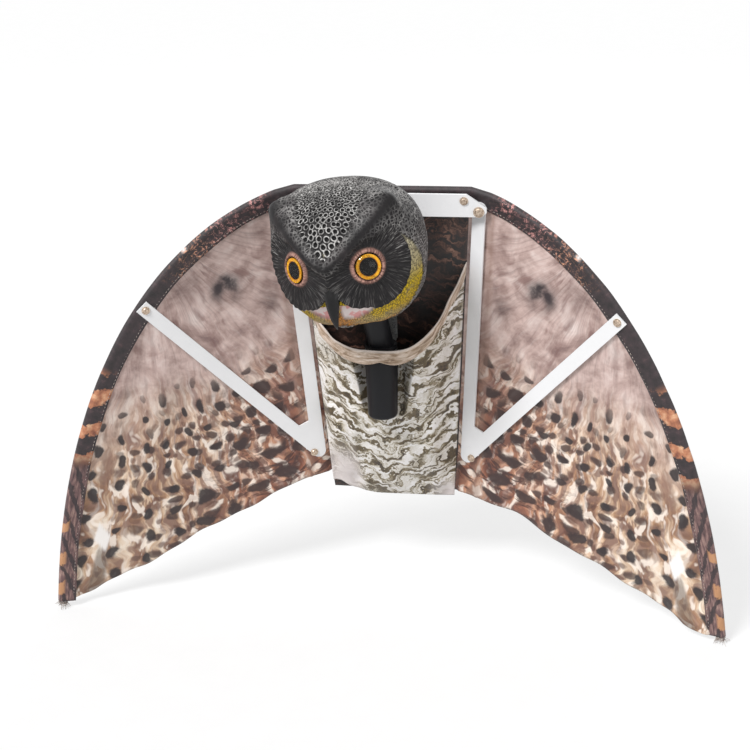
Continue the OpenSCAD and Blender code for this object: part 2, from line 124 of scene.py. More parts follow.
# ---- Meshes ----
def mesh(name, points, faces, materials, body=None, attributes=None, flip=False):
    """A piece from points in mm and faces, in metres, riding on its body."""
    me = bpy.data.meshes.new(name)
    if flip:
        faces = [tuple(reversed(f)) for f in faces]
    me.from_pydata((np.asarray(points, float) * MM).tolist(), [], [tuple(int(i) for i in f) for f in faces])
    me.polygons.foreach_set("use_smooth", np.ones(len(me.polygons), bool))
    for key, value in (attributes or {}).items():
        value = np.asarray(value, np.float32)
        kind, field = ("FLOAT_VECTOR", "vector") if value.ndim == 2 else ("FLOAT", "value")
        me.attributes.new(key, kind, "POINT").data.foreach_set(field, value.ravel())
    for m in materials:
        me.materials.append(m)
    me.update()
    o = bpy.data.objects.new(name, me)
    bpy.context.scene.collection.objects.link(o)
    if body:
        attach(o, body)
    return o


def grid_faces(rows, cols, closed=False):
    """Faces of a grid of rows x cols points, with its columns closed into a ring or not."""
    last = cols if closed else cols - 1
    return [(r * cols + c, r * cols + (c + 1) % cols, (r + 1) * cols + (c + 1) % cols, (r + 1) * cols + c)
            for r in range(rows - 1) for c in range(last)]


def closed_tube(rings, sides, base=0):
    """Faces of a tube of rings x sides points, numbered from base, with its two end caps."""
    last = base + (rings - 1) * sides
    round_faces = [tuple(base + i for i in f) for f in grid_faces(rings, sides, closed=True)]
    return round_faces + [tuple(range(base + sides - 1, base - 1, -1)), tuple(range(last, last + sides))]


def thicken(o, t, offset=-1.0, rim=1):
    """Gives a sheet its thickness in mm. Its rear takes the second material, and its rim too if rim is 1."""
    m = o.modifiers.new("thickness", "SOLIDIFY")
    m.thickness, m.offset, m.use_even_offset = t * MM, offset, False
    m.material_offset, m.material_offset_rim = 1, rim
    return o


def apply_all(o):
    """Bakes a piece's modifiers into its mesh."""
    done = bpy.data.meshes.new_from_object(o.evaluated_get(bpy.context.evaluated_depsgraph_get()))
    o.modifiers.clear()
    old, o.data = o.data, done
    bpy.data.meshes.remove(old)


def noise2(x, y, seed, octaves=3):
    """Smooth repeatable noise in about -1..1 from sums of turned sine waves."""
    r = np.random.default_rng(seed)
    total, size = 0, 1.0
    for _ in range(octaves):
        for _ in range(4):
            a, b = r.uniform(0, 2 * np.pi, 2)
            total = total + size * np.sin(np.cos(a) * x + np.sin(a) * y + b) / 2.4
        x, y, size = x * 2.03, y * 2.03, size * 0.5
    return total


# ---- Materials ----
def rgb(code):
    """A written sRGB colour as linear values."""
    c = np.array([int(code[i:i + 2], 16) for i in (1, 3, 5)]) / 255
    return (*np.where(c <= 0.04045, c / 12.92, ((c + 0.055) / 1.055) ** 2.4), 1.0)


class Shade:
    """A small helper that writes node trees."""

    def __init__(self, name, rough=0.6, **fixed):
        self.m = bpy.data.materials.new(name)
        self.m.use_nodes = True
        self.t = self.m.node_tree
        self.b = self.t.nodes["Principled BSDF"]
        self.b.inputs["Roughness"].default_value = rough
        for key, value in fixed.items():
            self.b.inputs[key.replace("_", " ")].default_value = value

    def put(self, socket, value):
        if isinstance(value, bpy.types.NodeSocket):
            self.t.links.new(value, socket)
        else:
            socket.default_value = value

    def node(self, kind, inputs=(), out=0, **props):
        n = self.t.nodes.new("ShaderNode" + kind)
        for key, value in props.items():
            setattr(n, key, value)
        for key, value in dict(inputs).items():
            self.put(n.inputs[key], value)
        return n.outputs[out]

    def attr(self, name, out="Fac"):
        return self.node("Attribute", attribute_name=name, out=out)

    def math(self, op, a, b=0.0, c=0.0):
        return self.node("Math", {0: a, 1: b, 2: c}, operation=op)

    def times(self, a, b):
        return self.math("MULTIPLY", a, b)

    def muladd(self, a, b, c):
        return self.math("MULTIPLY_ADD", a, b, c)

    def mix(self, fac, a, b):
        return self.node("Mix", {0: fac, 6: a, 7: b}, out=2, data_type="RGBA")

    def span(self, value, low, high, to_low=0.0, to_high=1.0):
        """Maps low..high to to_low..to_high, smoothly and clamped."""
        return self.node("MapRange", {0: value, 1: low, 2: high, 3: to_low, 4: to_high},
                         interpolation_type="SMOOTHSTEP", clamp=True)

    def scaled(self, vector, scale, move=(0, 0, 0)):
        return self.node("Mapping", {"Vector": vector, "Scale": scale, "Location": move})

    def noise(self, vector, scale, detail=3.0, rough=0.55, distortion=0.0):
        return self.node("TexNoise", {"Vector": vector, "Scale": scale, "Detail": detail, "Roughness": rough,
                                      "Distortion": distortion})

    def cells(self, vector, scale, feature="F1", random=1.0, out="Distance"):
        return self.node("TexVoronoi", {"Vector": vector, "Scale": scale, "Randomness": random}, out=out,
                         feature=feature)

    def own(self):
        return self.node("TexCoord", out="Object")

    def ramp(self, fac, *stops):
        n = self.t.nodes.new("ShaderNodeValToRGB")
        for i, (at, code) in enumerate(stops):
            e = n.color_ramp.elements[i] if i < 2 else n.color_ramp.elements.new(at)
            e.position, e.color = at, rgb(code) if isinstance(code, str) else (code, code, code, 1)
        self.put(n.inputs[0], fac)
        return n.outputs[0]

    def polar(self, x, y):
        """Radius and angle of a place in a plane."""
        return self.math("SQRT", self.muladd(x, x, self.times(y, y))), self.math("ARCTAN2", y, x)

    def hashed(self, a, b=0.0):
        """A steady random number for each whole pair."""
        v = self.node("CombineXYZ", {0: a, 1: b, 2: 0.0})
        return self.node("TexWhiteNoise", {"Vector": v}, noise_dimensions="3D")

    def feather_marks(self, flow, per_x, per_y, wide, tall, seed, curl=1.1):
        """How far a place is from the middle of its cell's mark, 1 at the mark's edge, and a random number
        for that mark. wide and tall are shares of a cell."""
        x, y, _ = self.split(flow)
        c = self.muladd(x, per_x, seed)
        col = self.math("FLOOR", c)
        f = self.math("SUBTRACT", self.math("FRACT", c), 0.5)
        a = self.muladd(y, per_y, self.hashed(col, seed))
        a = self.muladd(self.times(f, f), curl, a)
        row = self.math("FLOOR", a)
        g = self.math("SUBTRACT", self.math("FRACT", a), 0.5)
        chance = self.hashed(self.math("ADD", col, 17.0), row)
        tall = self.times(tall, self.muladd(chance, 0.8, 0.6))
        f = self.math("DIVIDE", f, wide)
        g = self.math("DIVIDE", g, tall)
        d = self.math("SQRT", self.muladd(f, f, self.times(g, g)))
        return d, chance

    def split(self, vector):
        n = self.t.nodes.new("ShaderNodeSeparateXYZ")
        self.put(n.inputs[0], vector)
        return n.outputs

    def bump(self, height, distance, strength=1.0, normal=None):
        inputs = {"Height": height, "Distance": distance * MM, "Strength": strength}
        if normal:
            inputs["Normal"] = normal
        return self.node("Bump", inputs)

    def done(self, colour=None, normal=None, rough=None):
        for key, value in (("Base Color", colour), ("Normal", normal), ("Roughness", rough)):
            if value is not None:
                self.put(self.b.inputs[key], value)
        return self.m


def weave(s, vector, pitch=0.45):
    """Height of a fine plain weave, in threads of pitch mm, from a vector in mm."""
    x, y, _ = s.split(vector)
    k = 2 * math.pi / (2 * pitch)
    a = s.math("SINE", s.times(x, k))
    b = s.math("SINE", s.times(y, k))
    return s.times(a, b)


def crumpled(s, scale, detail=4.0, twist=0.0, thread=(0.06, 0.5), dent=(0.8, 0.35)):
    """Cloth's normal, from its weave and its creases, and the noise that makes the creases."""
    p = s.attr("weave", "Vector")
    crush = s.noise(p, scale, detail, 0.6, twist)
    return s.bump(weave(s, p), *thread, s.bump(crush, *dent)), crush


def plastic(name, code, worn, rough=0.42, grain=2600.0, **fixed):
    """Moulded plastic: slight mottling, fine grain and rubbed spots."""
    s = Shade(name, rough, **fixed)
    p = s.own()
    cloud = s.noise(p, 55.0, 4.0, 0.6)
    rub = s.span(s.noise(p, 160.0, 5.0, 0.7), 0.58, 0.72)
    colour = s.mix(s.times(cloud, 0.35), rgb(code), rgb(worn))
    colour = s.mix(s.times(rub, 0.25), colour, rgb(worn))
    fine = s.noise(p, grain, 2.0)
    return s.done(colour, s.bump(fine, 0.05, 0.5, s.bump(cloud, 0.35, 0.4)),
                  s.span(cloud, 0.3, 0.7, rough - 0.07, rough + 0.1))


def metal(name, code, dark, rough=0.35):
    s = Shade(name, rough, Metallic=1.0)
    p = s.own()
    spots = s.noise(p, 900.0, 4.0, 0.65)
    return s.done(s.mix(s.span(spots, 0.4, 0.68), rgb(code), rgb(dark)), s.bump(spots, 0.08, 0.5),
                  s.span(spots, 0.3, 0.7, rough - 0.08, rough + 0.15))


def reverse_cloth():
    """The unprinted side of the cloth."""
    s = Shade("cloth_reverse", 0.62, Sheen_Weight=0.15)
    p = s.attr("weave", "Vector")
    cloud = s.noise(p, 0.06, 4.0, 0.6)
    colour = s.ramp(cloud, (0.3, "#d9d6d3"), (0.7, "#f1efed"))
    return s.done(colour, s.bump(weave(s, p), 0.06, 0.5, s.bump(cloud, 0.8, 0.25)))


def wing_print():
    """Feather print: smoky above, rows of dark drops below that fan from the wrist, browner by the root."""
    s = Shade("feather_cloth", 0.5, Sheen_Weight=0.12, Coat_Weight=0.06, Coat_Roughness=0.35)
    place = s.attr("print", "Vector")       # cm in the wing's plane
    flow = s.attr("flow", "Vector")         # cm across and along the feathers
    low, root, drops = s.attr("low"), s.attr("root"), s.attr("drops")
    warp = s.node("TexNoise", {"Vector": place, "Scale": 0.36, "Detail": 1.5}, out="Color")
    warp = s.node("VectorMath", {0: warp, 1: (0.5, 0.5, 0.5)}, operation="SUBTRACT")
    bent = s.node("VectorMath", {0: warp, 1: (1.7, 1.7, 0.0), 2: flow}, operation="MULTIPLY_ADD")
    # Ground: smoky pink-grey above, cream and peach below
    smoke = s.noise(place, 0.42, 4.0, 0.6, 0.4)
    top = s.ramp(smoke, (0.3, "#856c68"), (0.43, "#b0968f"), (0.55, "#ccb3ac"), (0.72, "#e2d1cb"))
    patch = s.noise(s.scaled(bent, (1.0, 0.2, 1)), 1.0, 4.0, 0.6)
    pale = s.ramp(patch, (0.36, "#7f5d49"), (0.45, "#b58c6c"), (0.53, "#dfc1a4"), (0.66, "#fbeedd"))
    warm = s.ramp(patch, (0.36, "#6a4136"), (0.45, "#ad7257"), (0.54, "#e0ab8b"), (0.68, "#fae0cf"))
    ground = s.mix(low, top, s.mix(root, pale, warm))
    # Soft streaks along the feathers
    streak = s.noise(s.scaled(bent, (1.9, 0.14, 1)), 1.0, 3.0, 0.5)
    streaked = s.times(s.span(streak, 0.5, 0.7), s.muladd(low, 0.4, 0.34))
    ground = s.mix(streaked, ground, s.mix(low, rgb("#775f5b"), rgb("#84604c")))
    blotch = s.noise(s.scaled(bent, (0.5, 0.3, 1)), 1.0, 3.0, 0.6)
    ground = s.mix(s.times(s.span(blotch, 0.53, 0.7), s.span(low, 1.0, 0.0, 0.0, 0.7)), ground,
                   rgb("#775651"))
    light = s.times(s.span(streak, 0.48, 0.3), s.muladd(low, 0.55, 0.12))
    ground = s.mix(light, ground, rgb("#fdf5ee"))
    hair = s.noise(s.scaled(bent, (6.0, 0.5, 1)), 1.0, 3.0, 0.6)
    ground = s.mix(s.span(hair, 0.5, 0.7, 0.0, 0.16), ground, rgb("#6f5650"))
    # Rounded feather tips by the root, dark along their upper edge
    tips, chance = s.feather_marks(bent, 0.55, 0.5, 0.6, 0.4, 0.71, 2.2)
    shaded = s.times(s.span(tips, 1.15, 0.3), s.times(root, s.span(chance, 0.3, 0.8, 0.35, 1.0)))
    ground = s.mix(s.times(shaded, s.times(low, 0.85)), ground, rgb("#7a4430"))
    # Marks on the feathers: drops outside, broad brown bars by the root
    wide = s.muladd(root, 0.24, 0.19)
    rough_edge = s.times(s.math("SUBTRACT", s.noise(place, 3.0, 3.0, 0.6), 0.5), 0.5)
    d, chance = s.feather_marks(bent, 0.56, 0.42, wide, 0.25, 0.0, 0.9)
    first = s.times(s.span(s.math("ADD", d, rough_edge), 1.15, 0.7), drops)
    d, chance = s.feather_marks(bent, 0.83, 0.62, 0.3, 0.25, 0.37, 0.9)
    second = s.times(s.span(s.math("ADD", d, rough_edge), 1.15, 0.65), s.span(chance, 0.2, 0.35))
    second = s.times(second, s.attr("middle"))
    mottle = s.noise(s.scaled(bent, (0.75, 1.5, 1)), 1.0, 4.0, 0.6, 0.3)
    mottled = s.times(s.span(mottle, 0.52, 0.6), s.times(root, low))
    tip = s.noise(s.scaled(bent, (1.5, 0.55, 1)), 1.0, 2.0, 0.5)
    clump = s.noise(s.scaled(bent, (1.1, 0.4, 1)), 1.0, 3.0, 0.6)
    dense = s.times(s.span(clump, 0.5, 0.58), s.times(low, s.muladd(s.attr("middle"), 0.5, 0.3)))
    ground = s.mix(dense, ground, s.mix(root, rgb("#725046"), rgb("#633a30")))
    ground = s.mix(s.times(s.span(tip, 0.54, 0.63), s.times(low, 0.8)), ground, rgb("#fff1e4"))
    ground = s.mix(s.times(s.span(tip, 0.46, 0.36), s.times(low, 0.8)), ground,
                   s.mix(root, rgb("#8f6f60"), rgb("#7a4c3c")))
    d, chance = s.feather_marks(bent, 1.25, 0.8, 0.34, 0.26, 0.81, 0.9)
    third = s.times(s.span(s.math("ADD", d, rough_edge), 1.15, 0.5), s.span(chance, 0.35, 0.5))
    ground = s.mix(s.times(third, s.times(s.attr("middle"), 0.75)), ground, rgb("#5d3a2e"))
    colour = s.mix(s.times(mottled, 0.88), ground, rgb("#41241f"))
    colour = s.mix(s.times(second, 0.9), colour, rgb("#3d2825"))
    colour = s.mix(s.times(first, 0.96), colour, s.mix(root, rgb("#1f1519"), rgb("#331d1b")))
    # Single marks that both wings carry, and painted shade along the crease by the hinge
    colour = s.mix(s.times(s.attr("smudge"), s.span(s.noise(place, 0.9, 3.0), 0.3, 0.6, 0.6, 1.0)),
                   colour, rgb("#2c2024"))
    colour = s.mix(s.attr("wedge"), colour, rgb("#3a2a26"))
    colour = s.mix(s.attr("gem"), colour, rgb("#fbf6f2"))
    # painted shade: the strip just outboard of the hinge and the crease in it are painted darker brown
    colour = s.mix(s.times(s.attr("fold"), 0.5), colour, rgb("#8a6a5c"))
    normal, crush = crumpled(s, 0.05, 5.0, 0.6, (0.05, 0.45), (1.2, 0.3))
    return s.done(colour, normal, s.span(crush, 0.3, 0.7, 0.42, 0.58))


def hem_print():
    """Leading edge: charcoal, pink sparks near the top, orange bars half way, brown barbs below."""
    s = Shade("hem_cloth", 0.55, Sheen_Weight=0.1)
    edge = s.attr("edge", "Vector")         # cm along and across the hem
    along, across, _ = s.split(edge)
    warp = s.noise(edge, 0.9, 4.0, 0.6)
    dark = s.ramp(s.noise(edge, 1.3, 5.0, 0.65), (0.35, "#191416"), (0.6, "#35292c"), (0.8, "#5d4547"))
    spark = s.noise(s.scaled(edge, (2.6, 3.2, 1)), 1.0, 6.0, 0.75, 0.8)
    gaps = s.span(s.noise(edge, 0.55, 3.0, 0.6), 0.4, 0.6, 0.1, 1.0)
    sparks = s.times(s.span(spark, 0.51, 0.62), s.times(s.span(along, 0.5, 2.5),
                                                               s.times(gaps, s.span(along, 14.5, 9.0))))
    hot = s.mix(s.span(along, 6.0, 10.0), rgb("#d79a95"), rgb("#efae8c"))
    colour = s.mix(sparks, dark, hot)
    slant = s.muladd(across, 0.55, s.muladd(warp, 1.6, along))
    bar = s.muladd(s.math("SUBTRACT", s.noise(edge, 0.7, 4.0, 0.7), 0.5), 4.5,
                   s.math("SINE", s.times(slant, 1.9)))
    amber = s.ramp(s.noise(edge, 1.1, 4.0), (0.32, "#7d4937"), (0.5, "#bb7d5c"), (0.68, "#e4b691"))
    bars = s.times(s.span(bar, 0.0, 0.45), s.times(s.span(along, 23.0, 24.5), s.span(along, 34.0, 31.0)))
    colour = s.mix(bars, colour, amber)
    barb = s.math("SINE", s.times(s.muladd(across, -2.4, s.muladd(warp, 2.4, along)), 2.3))
    brown = s.ramp(s.noise(s.scaled(edge, (0.8, 4.5, 1)), 1.0, 5.0, 0.6), (0.3, "#2b2024"),
                   (0.5, "#6d5150"), (0.72, "#a88a80"))
    lower = s.mix(s.span(barb, 0.15, 0.75, 0.0, 0.85), brown, rgb("#231c21"))
    colour = s.mix(s.span(along, 31.5, 35.0), colour, lower)
    outer = s.times(s.span(bar, 0.2, 0.6), s.times(s.span(across, 0.7, 0.4), s.span(along, 37.0, 39.0)))
    colour = s.mix(s.times(outer, 0.8), colour, rgb("#c79267"))
    colour = s.mix(s.attr("notch"), colour, rgb("#f3ece8"))
    return s.done(colour, crumpled(s, 0.12)[0])


def bark_print(name, stops, slant, pitch, contrast, crack_code):
    """Wavy bark stripes, mirrored about the middle line and tilted by slant."""
    s = Shade(name, 0.5, Sheen_Weight=0.12, Coat_Weight=0.05, Coat_Roughness=0.4)
    place = s.attr("print", "Vector")
    x, z, _ = s.split(place)
    lift = s.muladd(s.math("ABSOLUTE", x), slant, z)
    warp = s.math("SUBTRACT", s.noise(place, 0.4, 4.0, 0.6), 0.5)
    lift = s.muladd(warp, contrast, lift)
    run = s.node("CombineXYZ", {0: s.times(x, 0.42), 1: s.math("DIVIDE", lift, pitch), 2: 0.0})
    wave = s.noise(run, 1.0, 5.0, 0.62, 0.35)
    wave = s.muladd(s.math("SINE", s.times(lift, 5.5)), 0.035, wave)
    colour = s.ramp(wave, *stops)
    crack = s.span(s.math("ABSOLUTE", s.math("SUBTRACT", wave, 0.45)), 0.028, 0.008)
    torn = s.span(s.noise(place, 0.9, 3.0), 0.35, 0.6, 0.15, 0.9)
    colour = s.mix(s.times(crack, torn), colour, rgb(crack_code))
    cloud = s.noise(place, 0.3, 3.0)
    colour = s.mix(s.times(s.attr("bare"), s.span(cloud, 0.3, 0.6, 0.6, 1.0)), colour, rgb("#d3cac8"))
    return s.done(colour, crumpled(s, 0.06, 5.0, 0.5, (0.05, 0.45), (1.2, 0.3))[0])


def head_paint():
    """Charcoal moulding, dry-brushed on its net and barbs, with pink lids and a yellow ruff."""
    s = Shade("head_plastic", 0.5)
    s.b.inputs["Specular IOR Level"].default_value = 0.16
    p = s.attr("own", "Vector")             # mm in the head's frame
    ridge, disc, ruff, hue = (s.attr(name) for name in ("ridge", "disc", "ruff", "hue"))
    eye = s.attr("eye", "Vector")
    ex, ey, _ = s.split(eye)
    radius, turn = s.polar(ex, ey)
    cloud = s.noise(p, 0.05, 4.0, 0.6)
    base = s.ramp(cloud, (0.3, "#171617"), (0.55, "#222021"), (0.78, "#332e2f"))
    # Fine net on the crown, sides and back
    small = s.cells(p, 0.36, "DISTANCE_TO_EDGE", 0.75)
    fine_ridge = s.span(small, 0.2, 0.04)
    brushed = s.span(s.noise(p, 0.09, 4.0, 0.7), 0.4, 0.6, 0.3, 1.0)
    fine = s.times(s.times(fine_ridge, brushed), s.attr("finenet"))
    colour = s.mix(s.times(fine, 0.8), base, rgb("#b3b0ae"))
    dusted = s.times(s.span(s.noise(p, 0.42, 4.0, 0.7), 0.36, 0.62, 0.12, 1.0),
                     s.span(s.noise(p, 0.06, 3.0), 0.3, 0.6, 0.45, 1.0))
    colour = s.mix(s.times(s.span(ridge, 0.3, 0.95), dusted), colour, rgb("#d6d4d1"))
    # painted shade: the pits of the crown's scales are painted darker than the moulding
    colour = s.mix(s.attr("pit"), colour, rgb("#151415"))
    # Barbs of the face discs
    barb_at = s.node("CombineXYZ", {0: s.times(turn, 30.0), 1: s.times(radius, 0.11), 2: 0.0})
    barb = s.noise(barb_at, 1.0, 3.0, 0.6)
    lines = s.times(s.span(barb, 0.5, 0.7), disc)
    colour = s.mix(s.times(lines, s.attr("brush")), colour, rgb("#a19e9b"))
    # Pink lid round each eye, with dark hairs
    hair_at = s.node("CombineXYZ", {0: s.times(turn, 12.0), 1: s.times(radius, 0.12), 2: 3.0})
    hair = s.noise(hair_at, 1.0, 2.0, 0.5)
    ragged = s.muladd(hair, 3.4, radius)
    lid = s.times(s.span(ragged, 18.0, 15.6), disc)
    lid_colour = s.mix(s.span(hair, 0.35, 0.65), rgb("#7d5b54"), rgb("#c79a8b"))
    colour = s.mix(s.times(lid, 0.9), colour, lid_colour)
    # painted shade: a near-black ring in the socket wall round each eye
    colour = s.mix(s.times(s.span(radius, 11.9, 11.0), disc), colour, rgb("#151111"))
    # Ruff: cream, yellow, then orange below
    hatch = s.cells(s.scaled(p, (1.0, 1.0, 0.55)), 0.5, "DISTANCE_TO_EDGE", 0.9)
    tint = s.ramp(hue, (0.0, "#cfc7ad"), (0.3, "#cdbd86"), (0.52, "#d8bb25"), (0.72, "#d7b42a"),
                  (0.86, "#bda56c"), (1.0, "#d08a35"))
    ruff_colour = s.mix(s.span(hatch, 0.16, 0.04, 0.0, 0.75), tint, rgb("#37322a"))
    ruff_colour = s.mix(s.span(s.noise(p, 0.12, 4.0), 0.55, 0.7, 0.0, 0.45), ruff_colour, rgb("#8b8778"))
    colour = s.mix(ruff, colour, ruff_colour)
    flesh = s.mix(s.span(s.noise(p, 0.13, 2.0), 0.45, 0.6), rgb("#eadedb"), rgb("#e3a5a3"))
    colour = s.mix(s.attr("throat"), colour, flesh)
    height = s.math("ADD", s.times(fine, 0.8), s.times(lines, 0.55))
    height = s.muladd(s.times(s.span(hatch, 0.2, 0.02), ruff), -0.6, height)
    normal = s.bump(height, 0.55, 0.8, s.bump(s.noise(p, 0.9, 4.0, 0.65), 0.25, 0.5))
    return s.done(colour, normal, s.span(cloud, 0.3, 0.7, 0.38, 0.55))


WHITE = plastic("white_plastic", "#efeff0", "#dcdcdf", 0.38, Coat_Weight=0.1)
BLACK = plastic("black_plastic", "#151517", "#26262b", 0.4, Specular_IOR_Level=0.2)
HORN = plastic("beak_plastic", "#0b0a0b", "#1c1a1b", 0.3, Specular_IOR_Level=0.25, Coat_Weight=0.1,
               Coat_Roughness=0.2)
BRASS = metal("rivet_brass", "#cdbba9", "#93806f", 0.5)
ZINC = metal("zinc_steel", "#b9b9b7", "#77777a", 0.35)
REVERSE = reverse_cloth()
WING = wing_print()
HEM = hem_print()
# the back's own dark print, painted darker still with the shade inside the pouch
BACK_PRINT_AND_SHADE = bark_print("back_cloth",
                       [(0.38, "#0d0808"), (0.48, "#1f1310"), (0.57, "#432b23"), (0.7, "#8a6757")],
                       0.15, 0.5, 5.0, "#060404")
BARK = bark_print("bark_cloth",
                  [(0.32, "#35281d"), (0.42, "#665638"), (0.475, "#9c8f73"), (0.52, "#d9d3c9"),
                   (0.63, "#f3f0ef")],
                  -0.5, 0.5, 5.0, "#241a12")
HEAD = head_paint()


def thread_material():
    s = Shade("thread", 0.8, Sheen_Weight=0.3)
    p = s.own()
    return s.done(s.ramp(s.noise(p, 700.0, 3.0), (0.35, "#6d5f59"), (0.65, "#c6b9b0")),
                  s.bump(s.noise(p, 3000.0, 2.0), 0.05))


THREAD = thread_material()

# ---- Camera, at the photograph's angle ----
AZ, EL, ROLL = (math.radians(v) for v in (9.1, 21.9, -1.62))
DISTANCE, FOCAL = 1400.0, 1573.0        # mm, and pixels across a 750 pixel frame
back = np.array([math.sin(AZ) * math.cos(EL), -math.cos(AZ) * math.cos(EL), math.sin(EL)])
side_to = np.array([math.cos(AZ), math.sin(AZ), 0])
up = np.cross(back, side_to)
right_axis = side_to * math.cos(ROLL) + up * math.sin(ROLL)
up_axis = -side_to * math.sin(ROLL) + up * math.cos(ROLL)
eye_at = (back - right_axis * 8 / FOCAL + up_axis * 39.5 / FOCAL) * DISTANCE
camera = bpy.data.objects.new("camera", bpy.data.cameras.new("camera"))
bpy.context.scene.collection.objects.link(camera)
camera.data.lens, camera.data.sensor_width = 36 * FOCAL / 750, 36
turned_axes = Matrix(np.column_stack([right_axis, up_axis, back])).to_4x4()
camera.matrix_world = Matrix.Translation(Vector(eye_at * MM)) @ turned_axes
bpy.context.scene.camera = camera


# ---- Curves of a wing, outboard and up from its pivot ----
def bezier(p, t):
    t = np.asarray(t, float)[:, None]
    return (1 - t) ** 3 * p[0] + 3 * (1 - t) ** 2 * t * p[1] + 3 * (1 - t) * t * t * p[2] + t ** 3 * p[3]


def slope(p, t):
    t = np.asarray(t, float)[:, None]
    return 3 * ((1 - t) ** 2 * (p[1] - p[0]) + 2 * (1 - t) * t * (p[2] - p[1]) + t * t * (p[3] - p[2]))


LEAD = np.array([[-30, CROWN], [95, CROWN + 0.5], [TIP[0] - 49, TIP[1] + 250], TIP])


def lead_in(t, n):
    """Points of the leading edge, moved inwards by n."""
    u = unit(slope(LEAD, t))
    return bezier(LEAD, t) + np.reshape(n, (-1, 1)) * np.column_stack([u[:, 1], -u[:, 0]])


OUTER_RIVET = lead_in([OUTER_RIVET_T], 8)[0]
LOW_RIVET = np.array([0, -LEG_LEN])
fine_t = np.linspace(0, 1, 2001)
arc = np.concatenate([[0], np.cumsum(np.linalg.norm(np.diff(bezier(LEAD, fine_t), axis=0), axis=1))])
T_HINGE = float(np.interp(0, bezier(LEAD, fine_t)[:, 0], fine_t))
ARC_HINGE = float(np.interp(T_HINGE, fine_t, arc))
WRIST = np.array([128.0, 12.0])


def segment_gap(p, a, b):
    """Distance of 2-D points from the segment a-b."""
    d = b - a
    t = np.clip(((p - a) @ d) / (d @ d), 0, 1)
    return np.linalg.norm(p - a - t[:, None] * d, axis=1)


def build_wing(side, name):
    """The printed cloth of one wing, from just inboard of the hinge to the tip."""
    cols, rows = 150, 96
    u = np.linspace(0, 1, cols)
    t_start = float(np.interp(-HINGE_CLEAR + 0.3, bezier(LEAD, fine_t)[:, 0], fine_t))
    lead_t = t_start + (0.994 - t_start) * u
    top = lead_in(lead_t, np.full(cols, 2 * SPAR_R + 2))
    drop = 19 if side > 0 else 2          # the owl's left wing hangs lower by the body
    foot = np.array([[-HINGE_CLEAR + 0.3, -ROOT_LOW - drop], [60, -ROOT_LOW - 4 - drop * 0.4],
                     TIP + [-52, -6], TIP + [-11, -2.3]])
    low = bezier(foot, u ** 0.92)
    ripple = noise2(u * 26, 0 * u, 5 if side > 0 else 9, 2)
    low[:, 1] += 2.6 * ripple * np.sin(np.pi * u) ** 0.6
    v = np.linspace(0, 1, rows)[:, None, None]
    flat = (low[None] * (1 - v) + top[None] * v).reshape(-1, 2)
    vv = np.repeat(np.linspace(0, 1, rows), cols)
    uu = np.tile(u, rows)
    flat[:, 0] -= SEAM_LAP * smooth(0.03, 0, uu)
    x, z = flat[:, 0], flat[:, 1]
    # Soft billows, none of them at the frame's strips or rivets
    leg = segment_gap(flat, np.array([0.0, 10.0]), LOW_RIVET)
    brace = segment_gap(flat, LOW_RIVET, OUTER_RIVET)
    from_edge = np.linalg.norm(flat - np.tile(top, (rows, 1)), axis=1)
    free = smooth(4, 30, np.minimum(leg, brace)) * smooth(HEM_W - 5, HEM_W + 20, from_edge)
    billow = 2.4 * noise2(x / 34, z / 46, 21 + side, 2) + 1.6
    angle = np.arctan2(WRIST[0] - x, WRIST[1] - z)
    reach = np.linalg.norm(flat - WRIST, axis=1)
    pull = 0.9 * np.sin(angle * 26 + 2.2 * noise2(x / 60, z / 60, 3, 2)) * smooth(40, 150, reach)
    hang = 3.2 * smooth(0.22, 0, vv) * noise2(uu * 15, vv * 2, 31 + side, 2)
    fold = np.exp(-((x - 13.5 - 0.012 * z) / 1.3) ** 2) * smooth(0.02, 0.1, 1 - vv)
    y = CLOTH_FRONT + 0.4 + free * (billow + pull + hang) - 0.8 * fold
    y = np.maximum(y, CLOTH_FRONT - 0.9 - 2.0 * free)
    y += 1.4 * smooth(1.0 - HINGE_CLEAR, -1.0 - HINGE_CLEAR, x)     # behind the cloth of the back
    points = at_wing(np.column_stack([x, y, z]), side)
    low_part = smooth(-95, -205, z + 0.22 * x + 14 * noise2(x / 30, z / 30, 8, 2))
    root = smooth(150, 30, x + 0.25 * (z + 250))
    arch = np.hypot(x - 63, (z + 74) / 1.25)
    smudge = np.exp(-((arch - 9) / 6.0) ** 2) * smooth(-88, -66, z)
    for size, at_x, at_z, wide, tall in ((0.75, 62, -60, 11, 7), (0.45, 24, -88, 9, 12),
                                         (0.3, 95, -60, 14, 16)):
        smudge += size * np.exp(-(((x - at_x) / wide) ** 2 + ((z - at_z) / tall) ** 2))
    gem = smooth(1.25, 0.85, np.abs(x - 213) / 7.5 + np.abs(z + 288) / 15)
    taper = 5.5 + 0.1 * np.abs(z + 300)
    wedge = smooth(1.25, 0.6, np.abs(x - 221 + 0.34 * (z + 318)) / taper) * smooth(-288, -310, z) * 0.65
    attributes = {
        "print": np.column_stack([x, z, 0 * x]) / 10,
        "flow": np.column_stack([angle * 19.0, reach / 10, 0 * x]),
        "weave": np.column_stack([x, z, 0 * x]),
        "low": low_part, "root": root * smooth(-60, -170, z),
        "drops": smooth(-112, -150, z + 0.16 * x) * smooth(6, 16, x + 0.05 * z + 12),
        "middle": smooth(-140, -190, z + 0.1 * x) * smooth(215, 160, x) * smooth(10, 30, x),
        "smudge": np.clip(smudge, 0, 1), "wedge": wedge, "gem": gem,
        # fold also carries painted shade: the strip by the hinge and its crease are darkened in the print
        "fold": np.clip(smooth(16, 13, x) * smooth(4, 8, x) * 0.9 + fold, 0, 1)}
    faces = grid_faces(rows, cols)
    o = mesh(name, points, faces, [WING, REVERSE], attributes=attributes, flip=side < 0)
    thicken(o, WING_T)
    apply_all(o)
    return o


def cross(piece):
    """Bakes a piece's place into its mesh."""
    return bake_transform(piece)


